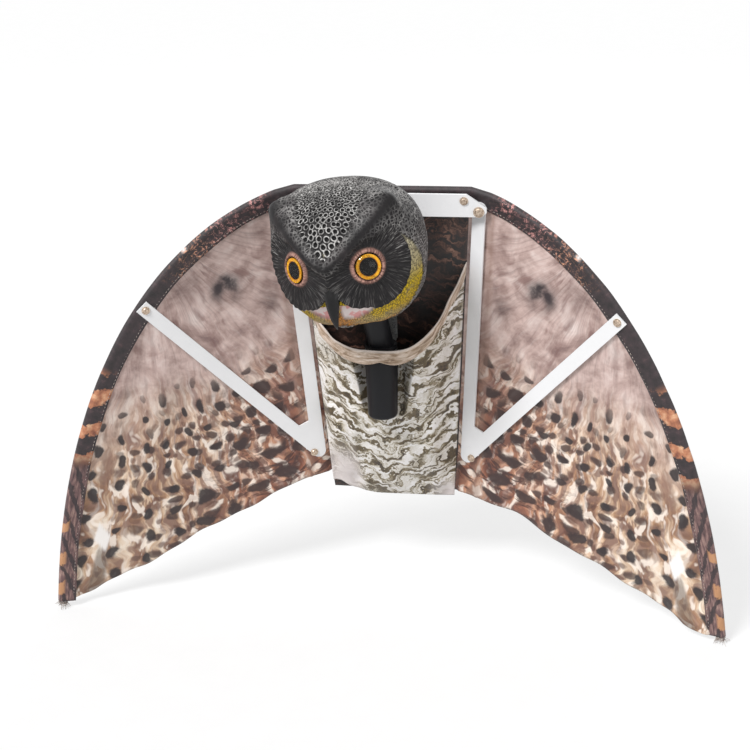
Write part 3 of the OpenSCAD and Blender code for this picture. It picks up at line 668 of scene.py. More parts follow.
def build_hem(side, name):
    """The folded band along the leading edge, round the bow rod, from the back's middle to the tip."""
    section = np.array([                # mm in from the fold, and back
        [HEM_W, 1.5], [13, 1.2], [9.5, 1.1], [6.8, 0.9], [4.6, 0.55], [2.6, 0.8], [1.0, 1.9], [0.15, 3.4],
        [0.0, 4.6], [0.7, 6.1], [2.3, 7.2], [4.2, 7.2], [5.8, 6.3], [7.4, 5.0], [9.5, 4.4], [13, 4.2],
        [HEM_W, 4.1]])
    knots = np.linspace(0, 1, len(section))
    fine = np.linspace(0, 1, 34)
    section = np.column_stack([np.interp(fine, knots, section[:, k]) for k in (0, 1)])
    section[1:-1] = 0.25 * section[:-2] + 0.5 * section[1:-1] + 0.25 * section[2:]
    girth = np.r_[0, np.cumsum(np.linalg.norm(np.diff(section, axis=0), axis=1))]
    rings, edge, notch, threads = [], [], [], []

    def add_ring(along, wander, place):
        """One section of the band, along mm from the hinge line; place sets it in space."""
        n, y = section[:, 0], section[:, 1] + 0.28 * noise2(along / 9.0, section[:, 0] / 7.0, 44 + side, 2)
        n = n + wander * noise2(along / 14.0 + n * 0, n * 0, 51, 1) * (n > 11)
        rings.append(place(n, y))
        edge.append(np.column_stack([0 * n + along, n, 0 * n]) / 10)
        ragged = n + 1.2 * noise2(along / 2 + n * 0, n, 5, 1)
        notch.append(np.exp(-((along - 103) / 1.9) ** 2) * smooth(4.0, 1.8, ragged))
        threads.append(np.column_stack([0 * n + along, girth, 0 * n]))

    for x in np.linspace(0, PIVOT[0] - BAND_BREAK, 40):
        add_ring(x - PIVOT[0], 0.5,
                 lambda n, y: at_back(np.column_stack([0 * n + x, y, CROWN - n])) * [side, 1, 1])
    for t in np.linspace(T_HINGE + 0.02, 1, 190):
        def on_wing(n, y):
            q = lead_in(np.full(len(n), t), n)
            return at_wing(np.column_stack([q[:, 0], y, q[:, 1]]), side)
        add_ring(np.interp(t, fine_t, arc) - ARC_HINGE, 0.6, on_wing)
    attributes = {"edge": np.concatenate(edge), "notch": np.concatenate(notch),
                  "weave": np.concatenate(threads)}
    o = mesh(name, np.concatenate(rings), grid_faces(len(rings), len(section)), [HEM, REVERSE],
             attributes=attributes, flip=side > 0)
    thicken(o, BAND_T)
    apply_all(o)
    return o


def build_stitches(side, name):
    """A row of thread stitches by the inner edge of the band."""
    pts, faces = [], []
    t = np.linspace(T_HINGE + 0.02, 0.992, 4001)
    a = np.interp(t, fine_t, arc) - ARC_HINGE
    for s0 in np.arange(a[0] + 1, a[-1] - 3, STITCH_STEP):
        ends = np.interp([s0, s0 + STITCH_LEN / 2, s0 + STITCH_LEN], a, t)
        mid = lead_in(ends, np.full(3, HEM_W - 1.9))
        d = unit(mid[2] - mid[0])
        n = np.array([d[1], -d[0]])
        base = len(pts)
        for k, (r, lift) in enumerate(((0.1, 0.35), (0.32, -0.05), (0.1, 0.35))):
            for j in range(6):
                c, sn = math.cos(j * math.pi / 3) * r, math.sin(j * math.pi / 3) * r
                pts.append([mid[k][0] + n[0] * c, HEM_FRONT + 0.12 + lift + sn, mid[k][1] + n[1] * c])
        faces += closed_tube(3, 6, base)
    return mesh(name, at_wing(pts, side), faces, [THREAD], flip=side < 0)


def tube(paths, radius, sides=6, taper=1.0):
    """Points and faces of round tubes along polylines, in mm."""
    pts, faces = [], []
    for path in paths:
        path = np.asarray(path, float)
        d = unit(np.gradient(path, axis=0))
        ref = np.array([0.3, 0.9, 0.2])
        a = unit(np.cross(d, ref))
        b = np.cross(d, a)
        base, n = len(pts), len(path)
        for k in range(n):
            r = radius * (1 - (1 - taper) * k / (n - 1))
            for j in range(sides):
                w = 2 * math.pi * j / sides
                pts.append(path[k] + r * (math.cos(w) * a[k] + math.sin(w) * b[k]))
        faces += closed_tube(n, sides, base)
    return np.array(pts), faces


def build_rod(side, name):
    """Half of the bow rod inside the band."""
    xs = np.linspace(0, PIVOT[0] - BAND_BREAK, 20)
    n = 3.0
    a = at_back(np.column_stack([xs, 0 * xs + SPAR_Y, 0 * xs + CROWN - n])) * [side, 1, 1]
    q = lead_in(np.linspace(T_HINGE + 0.02, 0.985, 90), np.full(90, n))
    b = at_wing(np.column_stack([q[:, 0], np.full(90, SPAR_Y), q[:, 1]]), side)
    pts, faces = tube([np.concatenate([a, b])], SPAR_R - 0.2, 10)
    return mesh(name, pts, faces, [BLACK])


def build_tie(side, body, name):
    """Thread bound round the band's end, with frayed strands."""
    r = np.random.default_rng(11 + side)
    run = unit(slope(LEAD, [1.0]))[0]
    inward = np.array([run[1], -run[0]])
    end = lead_in([1.0], 5.0)[0]
    middle = (HEM_FRONT + HEM_BACK) / 2
    paths = []
    for k in range(16):                       # turns and tucks of thread
        w = np.linspace(0, 2 * math.pi, 15)
        rad = 3.9 - 0.09 * k + r.uniform(-0.2, 0.2)
        c = end + run * (0.2 + 0.34 * k)
        tilt = r.uniform(-0.6, 0.6)
        paths.append(np.column_stack([c[0] + inward[0] * rad * 1.15 * np.cos(w) + run[0] * tilt * np.sin(w),
                                      middle + rad * 0.8 * np.sin(w),
                                      c[1] + inward[1] * rad * 1.15 * np.cos(w) + run[1] * tilt * np.sin(w)]))
    for _ in range(34):                       # frayed ends
        a, spread = r.uniform(0, 2 * math.pi), r.uniform(1.0, 4.4)
        p0 = end + run * r.uniform(1.0, 4.5) + inward * 3.6 * math.cos(a)
        y0 = middle + 2.6 * math.sin(a)
        length, s_ = r.uniform(3.0, 9.0), np.linspace(0, 1, 7)
        bend = r.uniform(-1, 1, 3) * 1.8
        out = inward * math.cos(a) * spread * 0.8
        paths.append(np.column_stack([p0[0] + (run[0] * length * 0.55 + out[0]) * s_ + bend[0] * s_ ** 2,
                                      y0 + (math.sin(a) * spread) * s_ + bend[1] * s_ ** 2,
                                      p0[1] + (run[1] * length * 0.55 + out[1]) * s_ + bend[2] * s_ ** 2]))
    pts, faces = tube(paths, 0.2, 5, 0.6)
    return mesh(name, at_wing(pts, side), faces, [THREAD], body, flip=side < 0)


WINGS = (("left", 1), ("right", -1))
for word, side in WINGS:
    body = word + "_wing"
    cloth = build_wing(side, body + "_sheet")
    band = build_hem(side, word + "_band")
    seam = build_stitches(side, word + "_stitches")
    rod = build_rod(side, word + "_rod")
    tie = build_tie(side, body, word + "_frayed_tie")
    for piece in (cloth, band, seam, rod):
        cross(piece)
    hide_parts(body + "_cloth")
    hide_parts(body + "_hem", "centre_hem")
    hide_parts(word + "_spar", "centre_spar")
    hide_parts(word + "_tip_tie")

# ---- Body pouch ----
FOOT_Z = PIVOT[2] - BACK_LEN * math.cos(math.radians(LEAN))
TAN_LEAN = math.tan(math.radians(LEAN))


def hinge_at(down):
    return PIVOT[0] - down * math.tan(math.radians(SPLAY))


def back_y(z):
    return PIVOT[1] + (PIVOT[2] - z) * TAN_LEAN + CLOTH_FRONT - 0.3 - POUCH_T


def share(z):
    return (z - FOOT_Z) / (RIM_Z - FOOT_Z)


def pouch_half(z):
    down = (PIVOT[2] - z) / math.cos(math.radians(LEAN))
    return np.minimum(FOOT_HALF + 11 * share(z), hinge_at(down) - HINGE_CLEAR - 1)


RIM_DEPTH = back_y(RIM_Z) + SLEEVE_R + COLLAR_GAP + POUCH_T


def pouch_y(u, z):
    fuller = np.where(u > 0, 3.4, 2.5)
    return back_y(z) - RIM_DEPTH * np.clip(share(z), 0, 1) ** 0.8 * (1 - np.abs(u) ** fuller)


def rim_at(u):
    return RIM_Z + np.where(u > 0, RISE_LEFT, RISE_RIGHT) * np.abs(u) ** 3.2


def build_back():
    """The cloth across the back, printed in front; its print carries painted shade of the pouch's inside."""
    cols, rows = 90, 150
    top = CROWN - 2 * SPAR_R - 2
    z = np.linspace(-(BACK_LEN - 6), top, rows)[:, None]
    down = -z
    half = np.where(down > LEG_LEN,
                    np.interp(down, [LEG_LEN, BACK_LEN - 6], [hinge_at(LEG_LEN) - HINGE_CLEAR, FOOT_HALF]),
                    np.minimum(HEM_HALF, hinge_at(np.maximum(down, 0)) - HINGE_CLEAR))
    u = np.linspace(-1, 1, cols)[None]
    x = (u * half).ravel()
    zz = np.repeat(z.ravel(), cols)
    uu = np.tile(u.ravel(), rows)
    free = (1 - uu ** 4) * smooth(top, top - 40, zz)
    billow = 1.2 + 1.2 * noise2(x / 26, zz / 34, 61, 2)
    pull = np.sin(x / 7 + 2 * noise2(x / 50, zz / 50, 6, 2))
    y = CLOTH_FRONT + 0.3 + free * billow + 0.7 * free * pull
    points = at_back(np.column_stack([x, y, zz]))
    o = mesh("back_sheet", points, grid_faces(rows, cols), [BACK_PRINT_AND_SHADE, REVERSE],
             attributes={"print": np.column_stack([x, zz, 0 * x]) / 10,
                         "weave": np.column_stack([x, zz, 0 * x]), "bare": 0 * x})
    thicken(o, BACK_T, rim=0)
    apply_all(o)
    return o


def build_belly():
    """The front of the pouch: folded at its sides, and pressed back behind the sleeve at its slit."""
    cols, rows = 150, 150
    u = np.linspace(-1, 1, cols)
    k = np.linspace(0, 1, rows)[:, None]
    high = rim_at(u) - COLLAR_H + 1.0
    foot = FOOT_Z + 2 + 12 * smooth(-0.2, -1, u)
    z = foot[None] + (high - foot)[None] * k
    uu = np.tile(u, rows)
    z = z.ravel()
    x = uu * pouch_half(z)
    y = pouch_y(uu, z)
    s_ = share(z)
    inside = smooth(1, 0.93, np.abs(uu)) * smooth(0, 0.12, s_)
    # Long folds that fall from the rim and gather toward the foot
    wander = 2.4 * noise2(uu * 3, s_ * 3, 71, 2)
    folds = 1.7 * np.sin(uu * 17 + wander) * smooth(0.2, 0.75, np.abs(uu)) * smooth(1.0, 0.75, s_)
    crush = 2.1 * noise2(x / 11, z / 15, 72, 3) * smooth(0.05, 0.5, np.abs(uu))
    crush += 1.6 * noise2(x / 24 + z / 30, z / 60, 73, 2)
    gather = 2.6 * np.exp(-((uu + 0.72 - 0.2 * (1 - s_)) / 0.07) ** 2) * smooth(0.85, 0.5, s_)
    y = y + inside * (folds + crush + gather)
    press = SLEEVE_R + 2.2
    behind = np.where(z > -12, press - 2.0 * np.maximum(0, np.abs(x) - press), -99)
    y = np.maximum(y, behind - 8 * smooth(2, -12, z))
    y = np.minimum(y, back_y(z) + 0.6)
    bare = smooth(-0.42, -0.8, uu + 0.25 * noise2(uu * 5, s_ * 4, 74, 2)) * smooth(0.4, 0.16, s_)
    pale = smooth(0.5, 0.95, uu) * smooth(0.16, 0.04, s_)
    points = np.column_stack([x, y, z])
    o = mesh("belly_sheet", points, grid_faces(rows, cols), [BARK, REVERSE],
             attributes={"print": np.column_stack([x + 2, z, 0 * x]) / 10,
                         "weave": np.column_stack([x, z, 0 * x]),
                         "bare": np.clip(bare + pale, 0, 1)})
    thicken(o, BELLY_T, rim=0)
    apply_all(o)
    return o


def build_collar():
    """The turned-over rim of the pouch, in front of the sleeve."""
    cols, around = 170, 22
    u = np.linspace(-1, 1, cols)
    w = np.linspace(0, 2 * np.pi, around, endpoint=False)
    pts, coord, wv = [], [], []
    top = rim_at(u)
    level = np.maximum(top - COLLAR_H / 2, RIM_Z)
    x = u * pouch_half(level)
    y = pouch_y(u, level) + POUCH_T / 2
    line = np.column_stack([x, y])
    d = unit(np.gradient(line, axis=0))
    out = np.column_stack([d[:, 1], -d[:, 0]])
    slit = np.exp(-((x - 1) / 11.0) ** 2)
    length = np.r_[0, np.cumsum(np.linalg.norm(np.diff(np.column_stack([x, y, top]), axis=0), axis=1))]
    for i in range(cols):
        half_h = COLLAR_H / 2 + 0.8 * noise2(np.array([length[i] / 16]), np.array([0.0]), 81, 1)[0]
        raise_low = 3.0 * slit[i] * max(0.0, 1 - abs(x[i] - 1) / 14)
        for a in w:
            lift = math.cos(a)
            zz = top[i] - COLLAR_H / 2 + (half_h * lift if lift > 0 else (half_h - raise_low) * lift)
            t = 1.05 * math.copysign(abs(math.sin(a)) ** 0.6, math.sin(a))
            wave = 0.75 * noise2(np.array([length[i] / 7.5]), np.array([lift * 1.1]), 82, 2)[0]
            flare = 0.9 * max(0, lift) ** 2
            pts.append([x[i] + out[i][0] * (t + wave + flare), y[i] + out[i][1] * (t + wave + flare), zz])
            coord.append([length[i] / 10, lift * 0.65, 0])
            wv.append([length[i], a * 4, 0])
    faces = closed_tube(cols, around)
    return mesh("collar_band", pts, faces, [COLLAR], "body", attributes={"edge": coord, "weave": wv},
                flip=True)


def collar_print():
    s = Shade("collar_cloth", 0.5, Sheen_Weight=0.12)
    edge = s.attr("edge", "Vector")
    _, lift, _ = s.split(edge)
    streak = s.noise(s.scaled(edge, (0.7, 3.2, 1)), 1.0, 5.0, 0.7, 0.6)
    colour = s.ramp(streak, (0.32, "#5c4536"), (0.44, "#a1886f"), (0.58, "#d6c2b0"), (0.75, "#efe6de"))
    colour = s.mix(s.span(lift, 0.35, 0.6, 0.0, 0.75), colour, rgb("#e6dcd4"))
    return s.done(colour, crumpled(s, 0.16, dent=(0.9, 0.35))[0])


COLLAR = collar_print()
back_sheet = build_back()
belly = build_belly()
collar = build_collar()
for piece, old, slot_name in ((back_sheet, "back_panel", "back_cloth"),
                              (belly, "belly_panel", "bark_cloth"), (collar, "collar_hem", "bark_cloth")):
    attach(piece, "body")
    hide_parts(old)


# ---- Head ----
def face_normal(side):
    y, u = math.radians(FACE_YAW), math.radians(FACE_UP)
    return np.array([side * math.sin(y) * math.cos(u), -math.cos(y) * math.cos(u), math.sin(u)])


def bump_at(d, where, size, spread):
    return size * np.exp(-(np.linalg.norm(d - np.array(where), axis=1) / spread) ** 2)


def head_reach(d):
    """Distance of the head's plain surface from its centre, as the CAD has it but for a smaller beak base."""
    deep = np.where(d[:, 1] > 0, HEAD_BACK, HEAD_FRONT)
    high = np.where(d[:, 2] > 0, HEAD_TOP, HEAD_LOW)
    shares = (d[:, 0] / HEAD_A, d[:, 1] / deep, d[:, 2] / high)
    hull = sum(np.abs(part) ** ROUND for part in shares) ** (-1 / ROUND)
    total = hull ** -MELD
    dist = EYE @ face_normal(1)
    for side in (1, -1):
        c = d @ face_normal(side)
        total += np.where(c > 0.2, dist / np.maximum(c, 0.2), 5 * dist) ** -MELD
    reach = total ** (-1 / MELD) + bump_at(d, (0, -0.79, -0.61), 4, 0.2)
    for side in (1, -1):
        reach += bump_at(d, (0.7 * side, -0.3, 0.65), 6, 0.24)
    return reach


def cube_sphere(n, pull):
    """Directions on a sphere from a cube's grid, gathered toward -y, with its faces."""
    ids, dirs, faces = {}, [], []
    line = np.tan(np.linspace(-1, 1, n + 1) * math.pi / 4)
    for axis in range(3):
        for sign in (-1, 1):
            index = np.zeros((n + 1, n + 1), int)
            for i in range(n + 1):
                for j in range(n + 1):
                    p = [0.0, 0.0, 0.0]
                    p[axis] = sign
                    p[(axis + 1) % 3], p[(axis + 2) % 3] = line[i], line[j]
                    key = (round(p[0] * 1e5), round(p[1] * 1e5), round(p[2] * 1e5))
                    if key not in ids:
                        ids[key] = len(dirs)
                        dirs.append(p)
                    index[i, j] = ids[key]
            a, b, c, d = index[:-1, :-1], index[1:, :-1], index[1:, 1:], index[:-1, 1:]
            quad = np.stack([a, b, c, d], axis=-1).reshape(-1, 4)
            faces.append(quad if sign > 0 else quad[:, ::-1])
    d = unit(np.array(dirs))
    d[:, 1] -= pull
    return unit(d), np.concatenate(faces)


def honeycomb(u, v, jitter, seed):
    """Distance to the nearest seed of a jittered hexagonal grid of unit cells."""
    row_h = math.sqrt(3) / 2
    row = np.round(v / row_h).astype(int)
    best = np.full(len(u), 9.0)
    for dr in (-1, 0, 1):
        r = row + dr
        shift = 0.5 * (r % 2)
        col = np.round(u - shift).astype(int)
        for dc in (-1, 0, 1):
            c = col + dc
            h = np.sin(r * 127.1 + c * 311.7 + seed) * 43758.5453
            g = np.sin(r * 269.5 + c * 183.3 + seed) * 43758.5453
            sx = c + shift + jitter * (h - np.floor(h) - 0.5)
            sy = r * row_h + jitter * (g - np.floor(g) - 0.5)
            best = np.minimum(best, np.hypot(u - sx, v - sy))
    return best


def path_gap(p, path):
    """Distance of points from a polyline, and how far along it, 0 to 1, the nearest place is."""
    best, along = np.full(len(p), 1e9), np.zeros(len(p))
    path = np.asarray(path, float)
    for k in range(len(path) - 1):
        a, d = path[k], path[k + 1] - path[k]
        t = np.clip((p - a) @ d / (d @ d), 0, 1)
        gap = np.linalg.norm(p - a - t[:, None] * d, axis=1)
        along = np.where(gap < best, (k + t) / (len(path) - 1), along)
        best = np.minimum(best, gap)
    return best, along


BROW = [(1.0, -62.1, 1), (13.5, -58.5, 9.1), (27.3, -48.2, 21.1), (39.2, -37.3, 31.1), (47.8, -27.1, 39.4),
        (50.4, -10, 42.5)]


SCALE_AT = [0, 10, 30, 55, 90, 130]             # degrees up from the beak and over the crown
SCALE_SIZE = [7.8, 7.4, 6.0, 4.6, 3.6, 3.2]     # mm from ring to ring


def build_head():
    d, faces = cube_sphere(122, 0.42)
    polar = np.degrees(np.arccos(np.clip(d[:, 2], -1, 1)))
    keep = (polar[faces] < NECK_POLAR + 0.4).all(axis=1)
    faces = faces[keep]
    used, index = np.unique(faces, return_inverse=True)
    faces, d, polar = index.reshape(-1, 4), d[used], polar[used]
    r = head_reach(d)
    p = d * r[:, None]
    m = p.copy()
    m[:, 0] = np.abs(m[:, 0])
    x, y, z = m.T
    eye = (m - EYE) @ EYE_R                 # across, up and out of the face plane
    rho = np.hypot(eye[:, 0], eye[:, 1])
    front = smooth(-14, -26, y)
    phi = np.degrees(np.arctan2(z, -y))
    # The crown's net between the brows, from an apex over the beak
    width = np.interp(phi, [5.5, 6.5, 11.3, 25.5, 42.8, 58.8, 78, 100, 125],
                      [-3, 0, 6.5, 19, 26.5, 29.4, 31.3, 44, 90])
    net = smooth(1.2, -1.2, x - width) * (phi > 3)
    brow_gap, brow_t = path_gap(m, BROW)
    brow_w = np.interp(brow_t, [0, 0.3, 0.6, 1], [4.5, 6.5, 9.5, 12])
    brow = np.exp(-(brow_gap / brow_w) ** 2) * smooth(1.0, 0.86, brow_t * (p[:, 1] < 8))
    under_brow = smooth(0.42, 0.12, brow) + smooth(26, 20, rho) * smooth(0.8, 0.5, brow)
    disc = smooth(38.0, 36.6, np.linalg.norm(m - EYE, axis=1)) * (1 - net) * front * np.clip(under_brow, 0, 1)
    disc_d = np.linalg.norm(m - EYE, axis=1)
    grow = np.interp(z, [-60, -48, -28, -12, 4, 14], [24, 23, 20, 14, 6, 0])
    ruff = smooth(36.8, 37.8, disc_d) * smooth(grow + 38.5, grow + 36.5, disc_d) * smooth(16, 10, z) * (y < 4)
    throat_x = smooth(3.0, 6.0, x) * smooth(31.5, 27.5, x)
    lip = -33.5 - 0.17 * np.abs(x)
    lower = np.interp(x, [0, 8, 16, 24, 31], [-47, -50, -50, -47, -41])
    throat = throat_x * smooth(lip + 0.6, lip - 0.9, z) * smooth(lower - 1.0, lower + 0.8, z) * (y < -38)
    # Relief
    lift = 4.6 * brow
    lift -= 2.2 * smooth(3, -3, x - width) * (1 - smooth(60, 90, phi)) * (phi > 4)
    lift -= 2.6 * disc * np.exp(-((rho - 20) / 9.0) ** 2)
    lift += 1.5 * disc * np.exp(-((disc_d - 35.5) / 2.2) ** 2)
    lift += 1.7 * disc * np.exp(-((rho - 12.9) / 1.6) ** 2)
    lift -= 6.5 * smooth(11.6, 10.7, rho) * front
    lift -= 3.0 * throat
    lift -= 1.6 * ruff
    angle = np.arctan2(eye[:, 1], eye[:, 0])
    lift += 0.35 * disc * np.sin(angle * 34 + 1.5 * noise2(rho / 9, angle * 3, 91, 2)) * smooth(14, 22, rho)
    lift += 0.45 * (1 - disc) * noise2(p[:, 0] / 5, (p[:, 2] + p[:, 1]) / 5, 92, 2) * (1 - net)
    # Ring-shaped scales, large by the apex
    size = np.interp(phi, SCALE_AT, SCALE_SIZE)
    table_phi = np.linspace(-60, 260, 641)
    table_v = np.cumsum(np.radians(0.5) * 58 / np.interp(table_phi, SCALE_AT, SCALE_SIZE))
    phi_all = np.where(phi < -90, phi + 360, phi)
    f1 = honeycomb(p[:, 0] / size, np.interp(phi_all, table_phi, table_v), 0.42, 3.3)
    rim = np.exp(-((f1 - 0.37) / 0.1) ** 2)
    pit = smooth(0.26, 0.14, f1)
    scaled = net * smooth(112, 84, phi) * (phi > 2)
    lift += scaled * (0.95 * rim - 0.9 * pit)
    points = d * (r + lift)[:, None]
    hue = np.interp(z, [-60, -56, -48, -32, -24, -12, 10], [0.95, 0.84, 0.72, 0.55, 0.42, 0.2, 0.0])
    hue = np.where(x < 26, np.maximum(hue, np.interp(x, [4, 26], [1.0, 0.8]) * (z < -40)), hue)
    finenet = np.clip(net * smooth(60, 95, phi) + (1 - disc) * (1 - brow) * (1 - net) * (1 - ruff), 0, 1)
    brush = 0.25 + 0.6 * smooth(20, 34, rho) * smooth(-12, 12, eye[:, 1])
    brush = np.clip(brush + 0.5 * smooth(-10, -26, eye[:, 1]) * smooth(20, 2, x), 0, 0.9)
    # pit carries painted shade for the pits of the scales
    attributes = {"own": p, "eye": eye, "ridge": scaled * rim, "pit": scaled * pit * 0.9, "disc": disc,
                  "ruff": ruff * (1 - throat), "hue": hue, "throat": throat, "finenet": finenet,
                  "brush": brush}
    # A lip that turns in at the neck opening
    edges = {}
    for f in faces:
        for a, b in zip(f, np.roll(f, -1)):
            edges[(a, b)] = edges.get((a, b), 0) + 1
    rim_edges = [e for e in edges if (e[1], e[0]) not in edges]
    rim_points = sorted({int(a) for e in rim_edges for a in e})
    inner = {a: len(points) + k for k, a in enumerate(rim_points)}
    inward = points[rim_points] - unit(points[rim_points]) * 2.5
    deep = inward + [0, 0, 9]
    faces = [tuple(int(i) for i in f) for f in faces]
    extra = len(rim_points)
    for a, b in rim_edges:
        a, b = int(a), int(b)
        faces.append((b, a, inner[a], inner[b]))
        faces.append((inner[b], inner[a], inner[a] + extra, inner[b] + extra))
    points = np.concatenate([points, inward, deep])
    attributes = {k: np.concatenate([v, v[rim_points], v[rim_points]]) for k, v in attributes.items()}
    return mesh("head_moulding", at_head(points), faces, [HEAD], "head", attributes=attributes)


BEAK_FACE, BEAK_DEPTH, BEAK_WIDTH = -56.0, 0.62, 0.88


def build_beak():
    """A hooked beak with a nostril swelling on each side."""
    spine = np.array([(0, -55, -17), (0, -60.5, -21), (0, -64.5, -27), (0, -67.6, -34), (0, -68.6, -41),
                      (0, -67.6, -47.5), (0, -65.8, -52.5)])
    wide = np.array([6.2, 7.6, 7.2, 5.8, 4.2, 2.4, 0.5])
    deep = np.array([5.0, 6.5, 7.2, 6.4, 4.8, 2.9, 0.6])
    k = np.linspace(0, len(spine) - 1, 44)
    at = np.arange(len(spine))
    line = np.column_stack([np.interp(k, at, spine[:, c]) for c in range(3)])
    for _ in range(3):
        line[1:-1] = 0.25 * line[:-2] + 0.5 * line[1:-1] + 0.25 * line[2:]
    w, h = np.interp(k, at, wide), np.interp(k, at, deep)
    d = unit(np.gradient(line, axis=0))
    across = np.array([1.0, 0, 0])
    normal = np.cross(across, d)
    pts, cols = [], 40
    for i in range(len(k)):
        for j in range(cols):
            a = 2 * math.pi * j / cols
            c, s_ = math.cos(a), math.sin(a)
            crest = 1 + 0.12 * max(0.0, -s_) ** 3
            swell = 1.3 * math.exp(-((k[i] - 1.3) / 0.6) ** 2) * math.exp(-((abs(c) - 0.8) / 0.3) ** 2)
            out = across * (w[i] + swell) * math.copysign(abs(c) ** 0.9, c)
            pts.append(line[i] + out + normal[i] * h[i] * s_ * crest)
    faces = closed_tube(len(k), cols)
    pts = np.array(pts)
    pts[:, 1] = BEAK_FACE + (pts[:, 1] - BEAK_FACE) * BEAK_DEPTH
    pts[:, 0] *= BEAK_WIDTH
    return mesh("beak", at_head(pts), faces, [HORN], "head")


head = build_head()
beak = build_beak()
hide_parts("head_shell")


# ---- Materials and soft edges on the CAD pieces that stay ----
def iris_paint(side):
    s = Shade(("left" if side > 0 else "right") + "_iris_paint", 0.5)
    s.b.inputs["Specular IOR Level"].default_value = 0.1
    centre = at_head((EYE * [side, 1, 1])[None])[0] * MM
    turn = HEAD_R @ rot("Z", side * FACE_YAW) @ rot("X", 90 - FACE_UP)
    moved = s.node("VectorMath", {0: s.own(), 1: tuple(centre)}, operation="SUBTRACT")
    ex = s.node("VectorMath", {0: moved, 1: tuple(turn[:, 0] / MM)}, operation="DOT_PRODUCT", out="Value")
    ey = s.node("VectorMath", {0: moved, 1: tuple(turn[:, 1] / MM)}, operation="DOT_PRODUCT", out="Value")
    radius, turned = s.polar(ex, ey)
    ray_at = s.node("CombineXYZ", {0: s.times(turned, 9.0), 1: s.times(radius, 0.2), 2: 0.0})
    rays = s.noise(ray_at, 1.0, 3.0, 0.6)
    yellow = s.ramp(rays, (0.3, "#f09a10"), (0.5, "#ffb31a"), (0.7, "#ffd84a"))
    colour = s.mix(s.span(radius, 8.5, 7.6, 0.0, 0.7), yellow, rgb("#9a4d08"))
    colour = s.mix(s.span(radius, 7.8, 7.3), colour, rgb("#060404"))
    colour = s.mix(s.span(radius, 10.1, 10.6), colour, rgb("#3a2412"))
    return s.done(colour, s.bump(rays, 0.15, 0.4))


def glass():
    """Clear dome: see-through with a sharp shine."""
    s = Shade("eye_glass", 0.04)
    out = s.t.nodes["Material Output"]
    s.t.nodes.remove(s.b)
    p = s.own()
    scratch = s.noise(p, 1200.0, 2.0)
    shine = s.t.nodes.new("ShaderNodeBsdfGlossy")
    s.put(shine.inputs["Roughness"], s.span(scratch, 0.3, 0.8, 0.08, 0.09))
    clear = s.t.nodes.new("ShaderNodeBsdfTransparent")
    clear.inputs["Color"].default_value = (0.97, 0.97, 0.96, 1)
    both = s.t.nodes.new("ShaderNodeMixShader")
    both.inputs[0].default_value = 0.02
    s.put(both.inputs[1], clear.outputs[0])
    s.put(both.inputs[2], shine.outputs[0])
    s.t.links.new(both.outputs[0], out.inputs["Surface"])
    return s.m


GLASS = glass()
finish_of = {
    "pole_sleeve": BLACK, "neck_post": BLACK, "neck_plug": BLACK, "back_bracket": ZINC,
    "bracket_screws": ZINC,
    "centre_strip": WHITE, "crossbar": WHITE, "centre_rivets": BRASS, "bar_rivets": BRASS,
    "neck_washer": ZINC,
    "neck_screw": ZINC}
for word, side in WINGS:
    finish_of |= {word + "_iris": iris_paint(side), word + "_eye_lens": GLASS, word + "_pivot_rivet": BRASS,
                  word + "_pivot_washer": ZINC, word + "_wing_frame": WHITE, word + "_wing_rivets": BRASS}
for name, material in finish_of.items():
    o = nodes[name]
    for s_ in o.material_slots:
        s_.material = material
    if not name.endswith(("_iris", "_eye_lens")):
        soft = o.modifiers.new("soft_edges", "BEVEL")
        soft.width, soft.segments = 0.3 * MM, 2
        soft.limit_method, soft.angle_limit = "ANGLE", math.radians(40)

# ---- Floor, lights, background ----
def shown_white(tree):
    """1 for camera, glossy and transmission rays, and 0 for the rest."""
    path = tree.nodes.new("ShaderNodeLightPath")
    seen = path.outputs["Is Camera Ray"]
    for ray in ("Is Glossy Ray", "Is Transmission Ray"):
        either = tree.nodes.new("ShaderNodeMath")
        either.operation = "MAXIMUM"
        tree.links.new(seen, either.inputs[0])
        tree.links.new(path.outputs[ray], either.inputs[1])
        seen = either.outputs[0]
    return seen


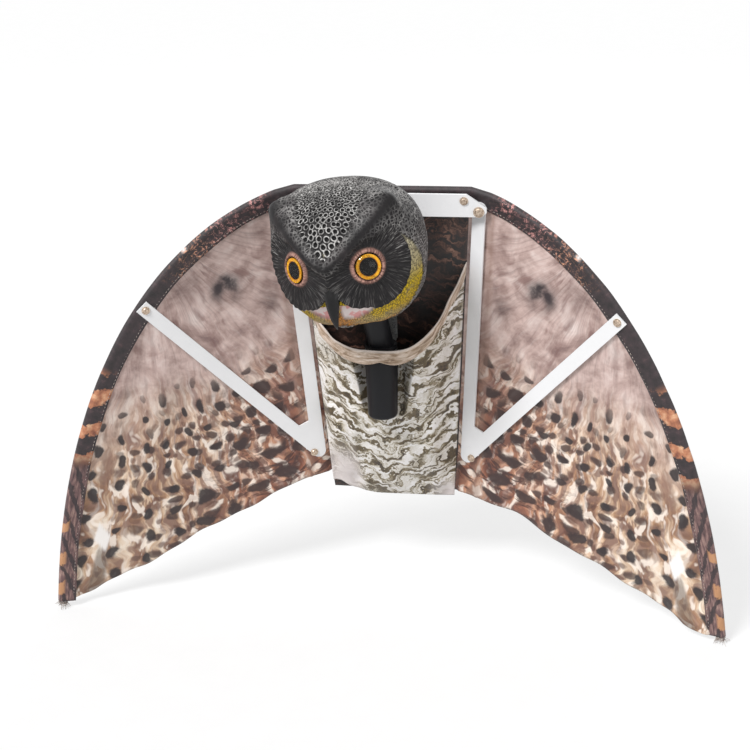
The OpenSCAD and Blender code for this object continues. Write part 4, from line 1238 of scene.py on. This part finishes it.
def floor_material():
    s = Shade("floor", 0.9)
    s.b.inputs["Specular IOR Level"].default_value = 0.0
    grain = s.noise(s.own(), 40.0, 3.0)
    s.put(s.b.inputs["Base Color"], s.ramp(grain, (0.3, 0.30), (0.7, 0.31)))
    glow = s.t.nodes.new("ShaderNodeEmission")
    glow.inputs["Color"].default_value = (1, 1, 1, 1)
    s.put(glow.inputs["Strength"], s.muladd(shown_white(s.t), 0.35, 0.3))
    add = s.t.nodes.new("ShaderNodeAddShader")
    s.put(add.inputs[0], s.b.outputs[0])
    s.put(add.inputs[1], glow.outputs[0])
    s.t.links.new(add.outputs[0], s.t.nodes["Material Output"].inputs["Surface"])
    return s.m


FLOOR_R, FLOOR_SIDES = 9000.0, 96
floor_z = cad_box[0][2] / MM - 1.0
ring = [(FLOOR_R * math.cos(a), FLOOR_R * math.sin(a), floor_z)
        for a in np.linspace(0, 2 * math.pi, FLOOR_SIDES, endpoint=False)]
floor = mesh("floor", ring, [tuple(range(FLOOR_SIDES))], [floor_material()])


def lamp(name, place, target, size, power):
    data = bpy.data.lights.new(name, "AREA")
    data.shape, data.size, data.energy = "DISK", size, power
    o = bpy.data.objects.new(name, data)
    bpy.context.scene.collection.objects.link(o)
    o.location = place
    o.rotation_euler = (Vector(target) - Vector(place)).to_track_quat("-Z", "Y").to_euler()


lamp("fill", (1.6, -1.4, 0.7), (0, 0, 0.05), 1.4, 7)
lamp("rear", (0.3, 1.6, 1.4), (0, 0, 0.1), 1.2, 8)
key = bpy.data.objects.new("key", bpy.data.lights.new("key", "SUN"))
key.data.energy, key.data.angle = 2.8, math.radians(18)
key.rotation_euler = Vector((0.55, 0.75, -1.0)).to_track_quat("-Z", "Y").to_euler()
bpy.context.scene.collection.objects.link(key)
world = bpy.data.worlds.new("world")
bpy.context.scene.world = world
world.use_nodes = True
wt = world.node_tree
strength = wt.nodes.new("ShaderNodeMapRange")
wt.links.new(shown_white(wt), strength.inputs["Value"])
strength.inputs["To Min"].default_value, strength.inputs["To Max"].default_value = 0.48, 1.0
wt.nodes["Background"].inputs["Color"].default_value = (1, 1, 1, 1)
wt.links.new(strength.outputs[0], wt.nodes["Background"].inputs["Strength"])
bpy.context.scene.view_settings.view_transform = "Standard"
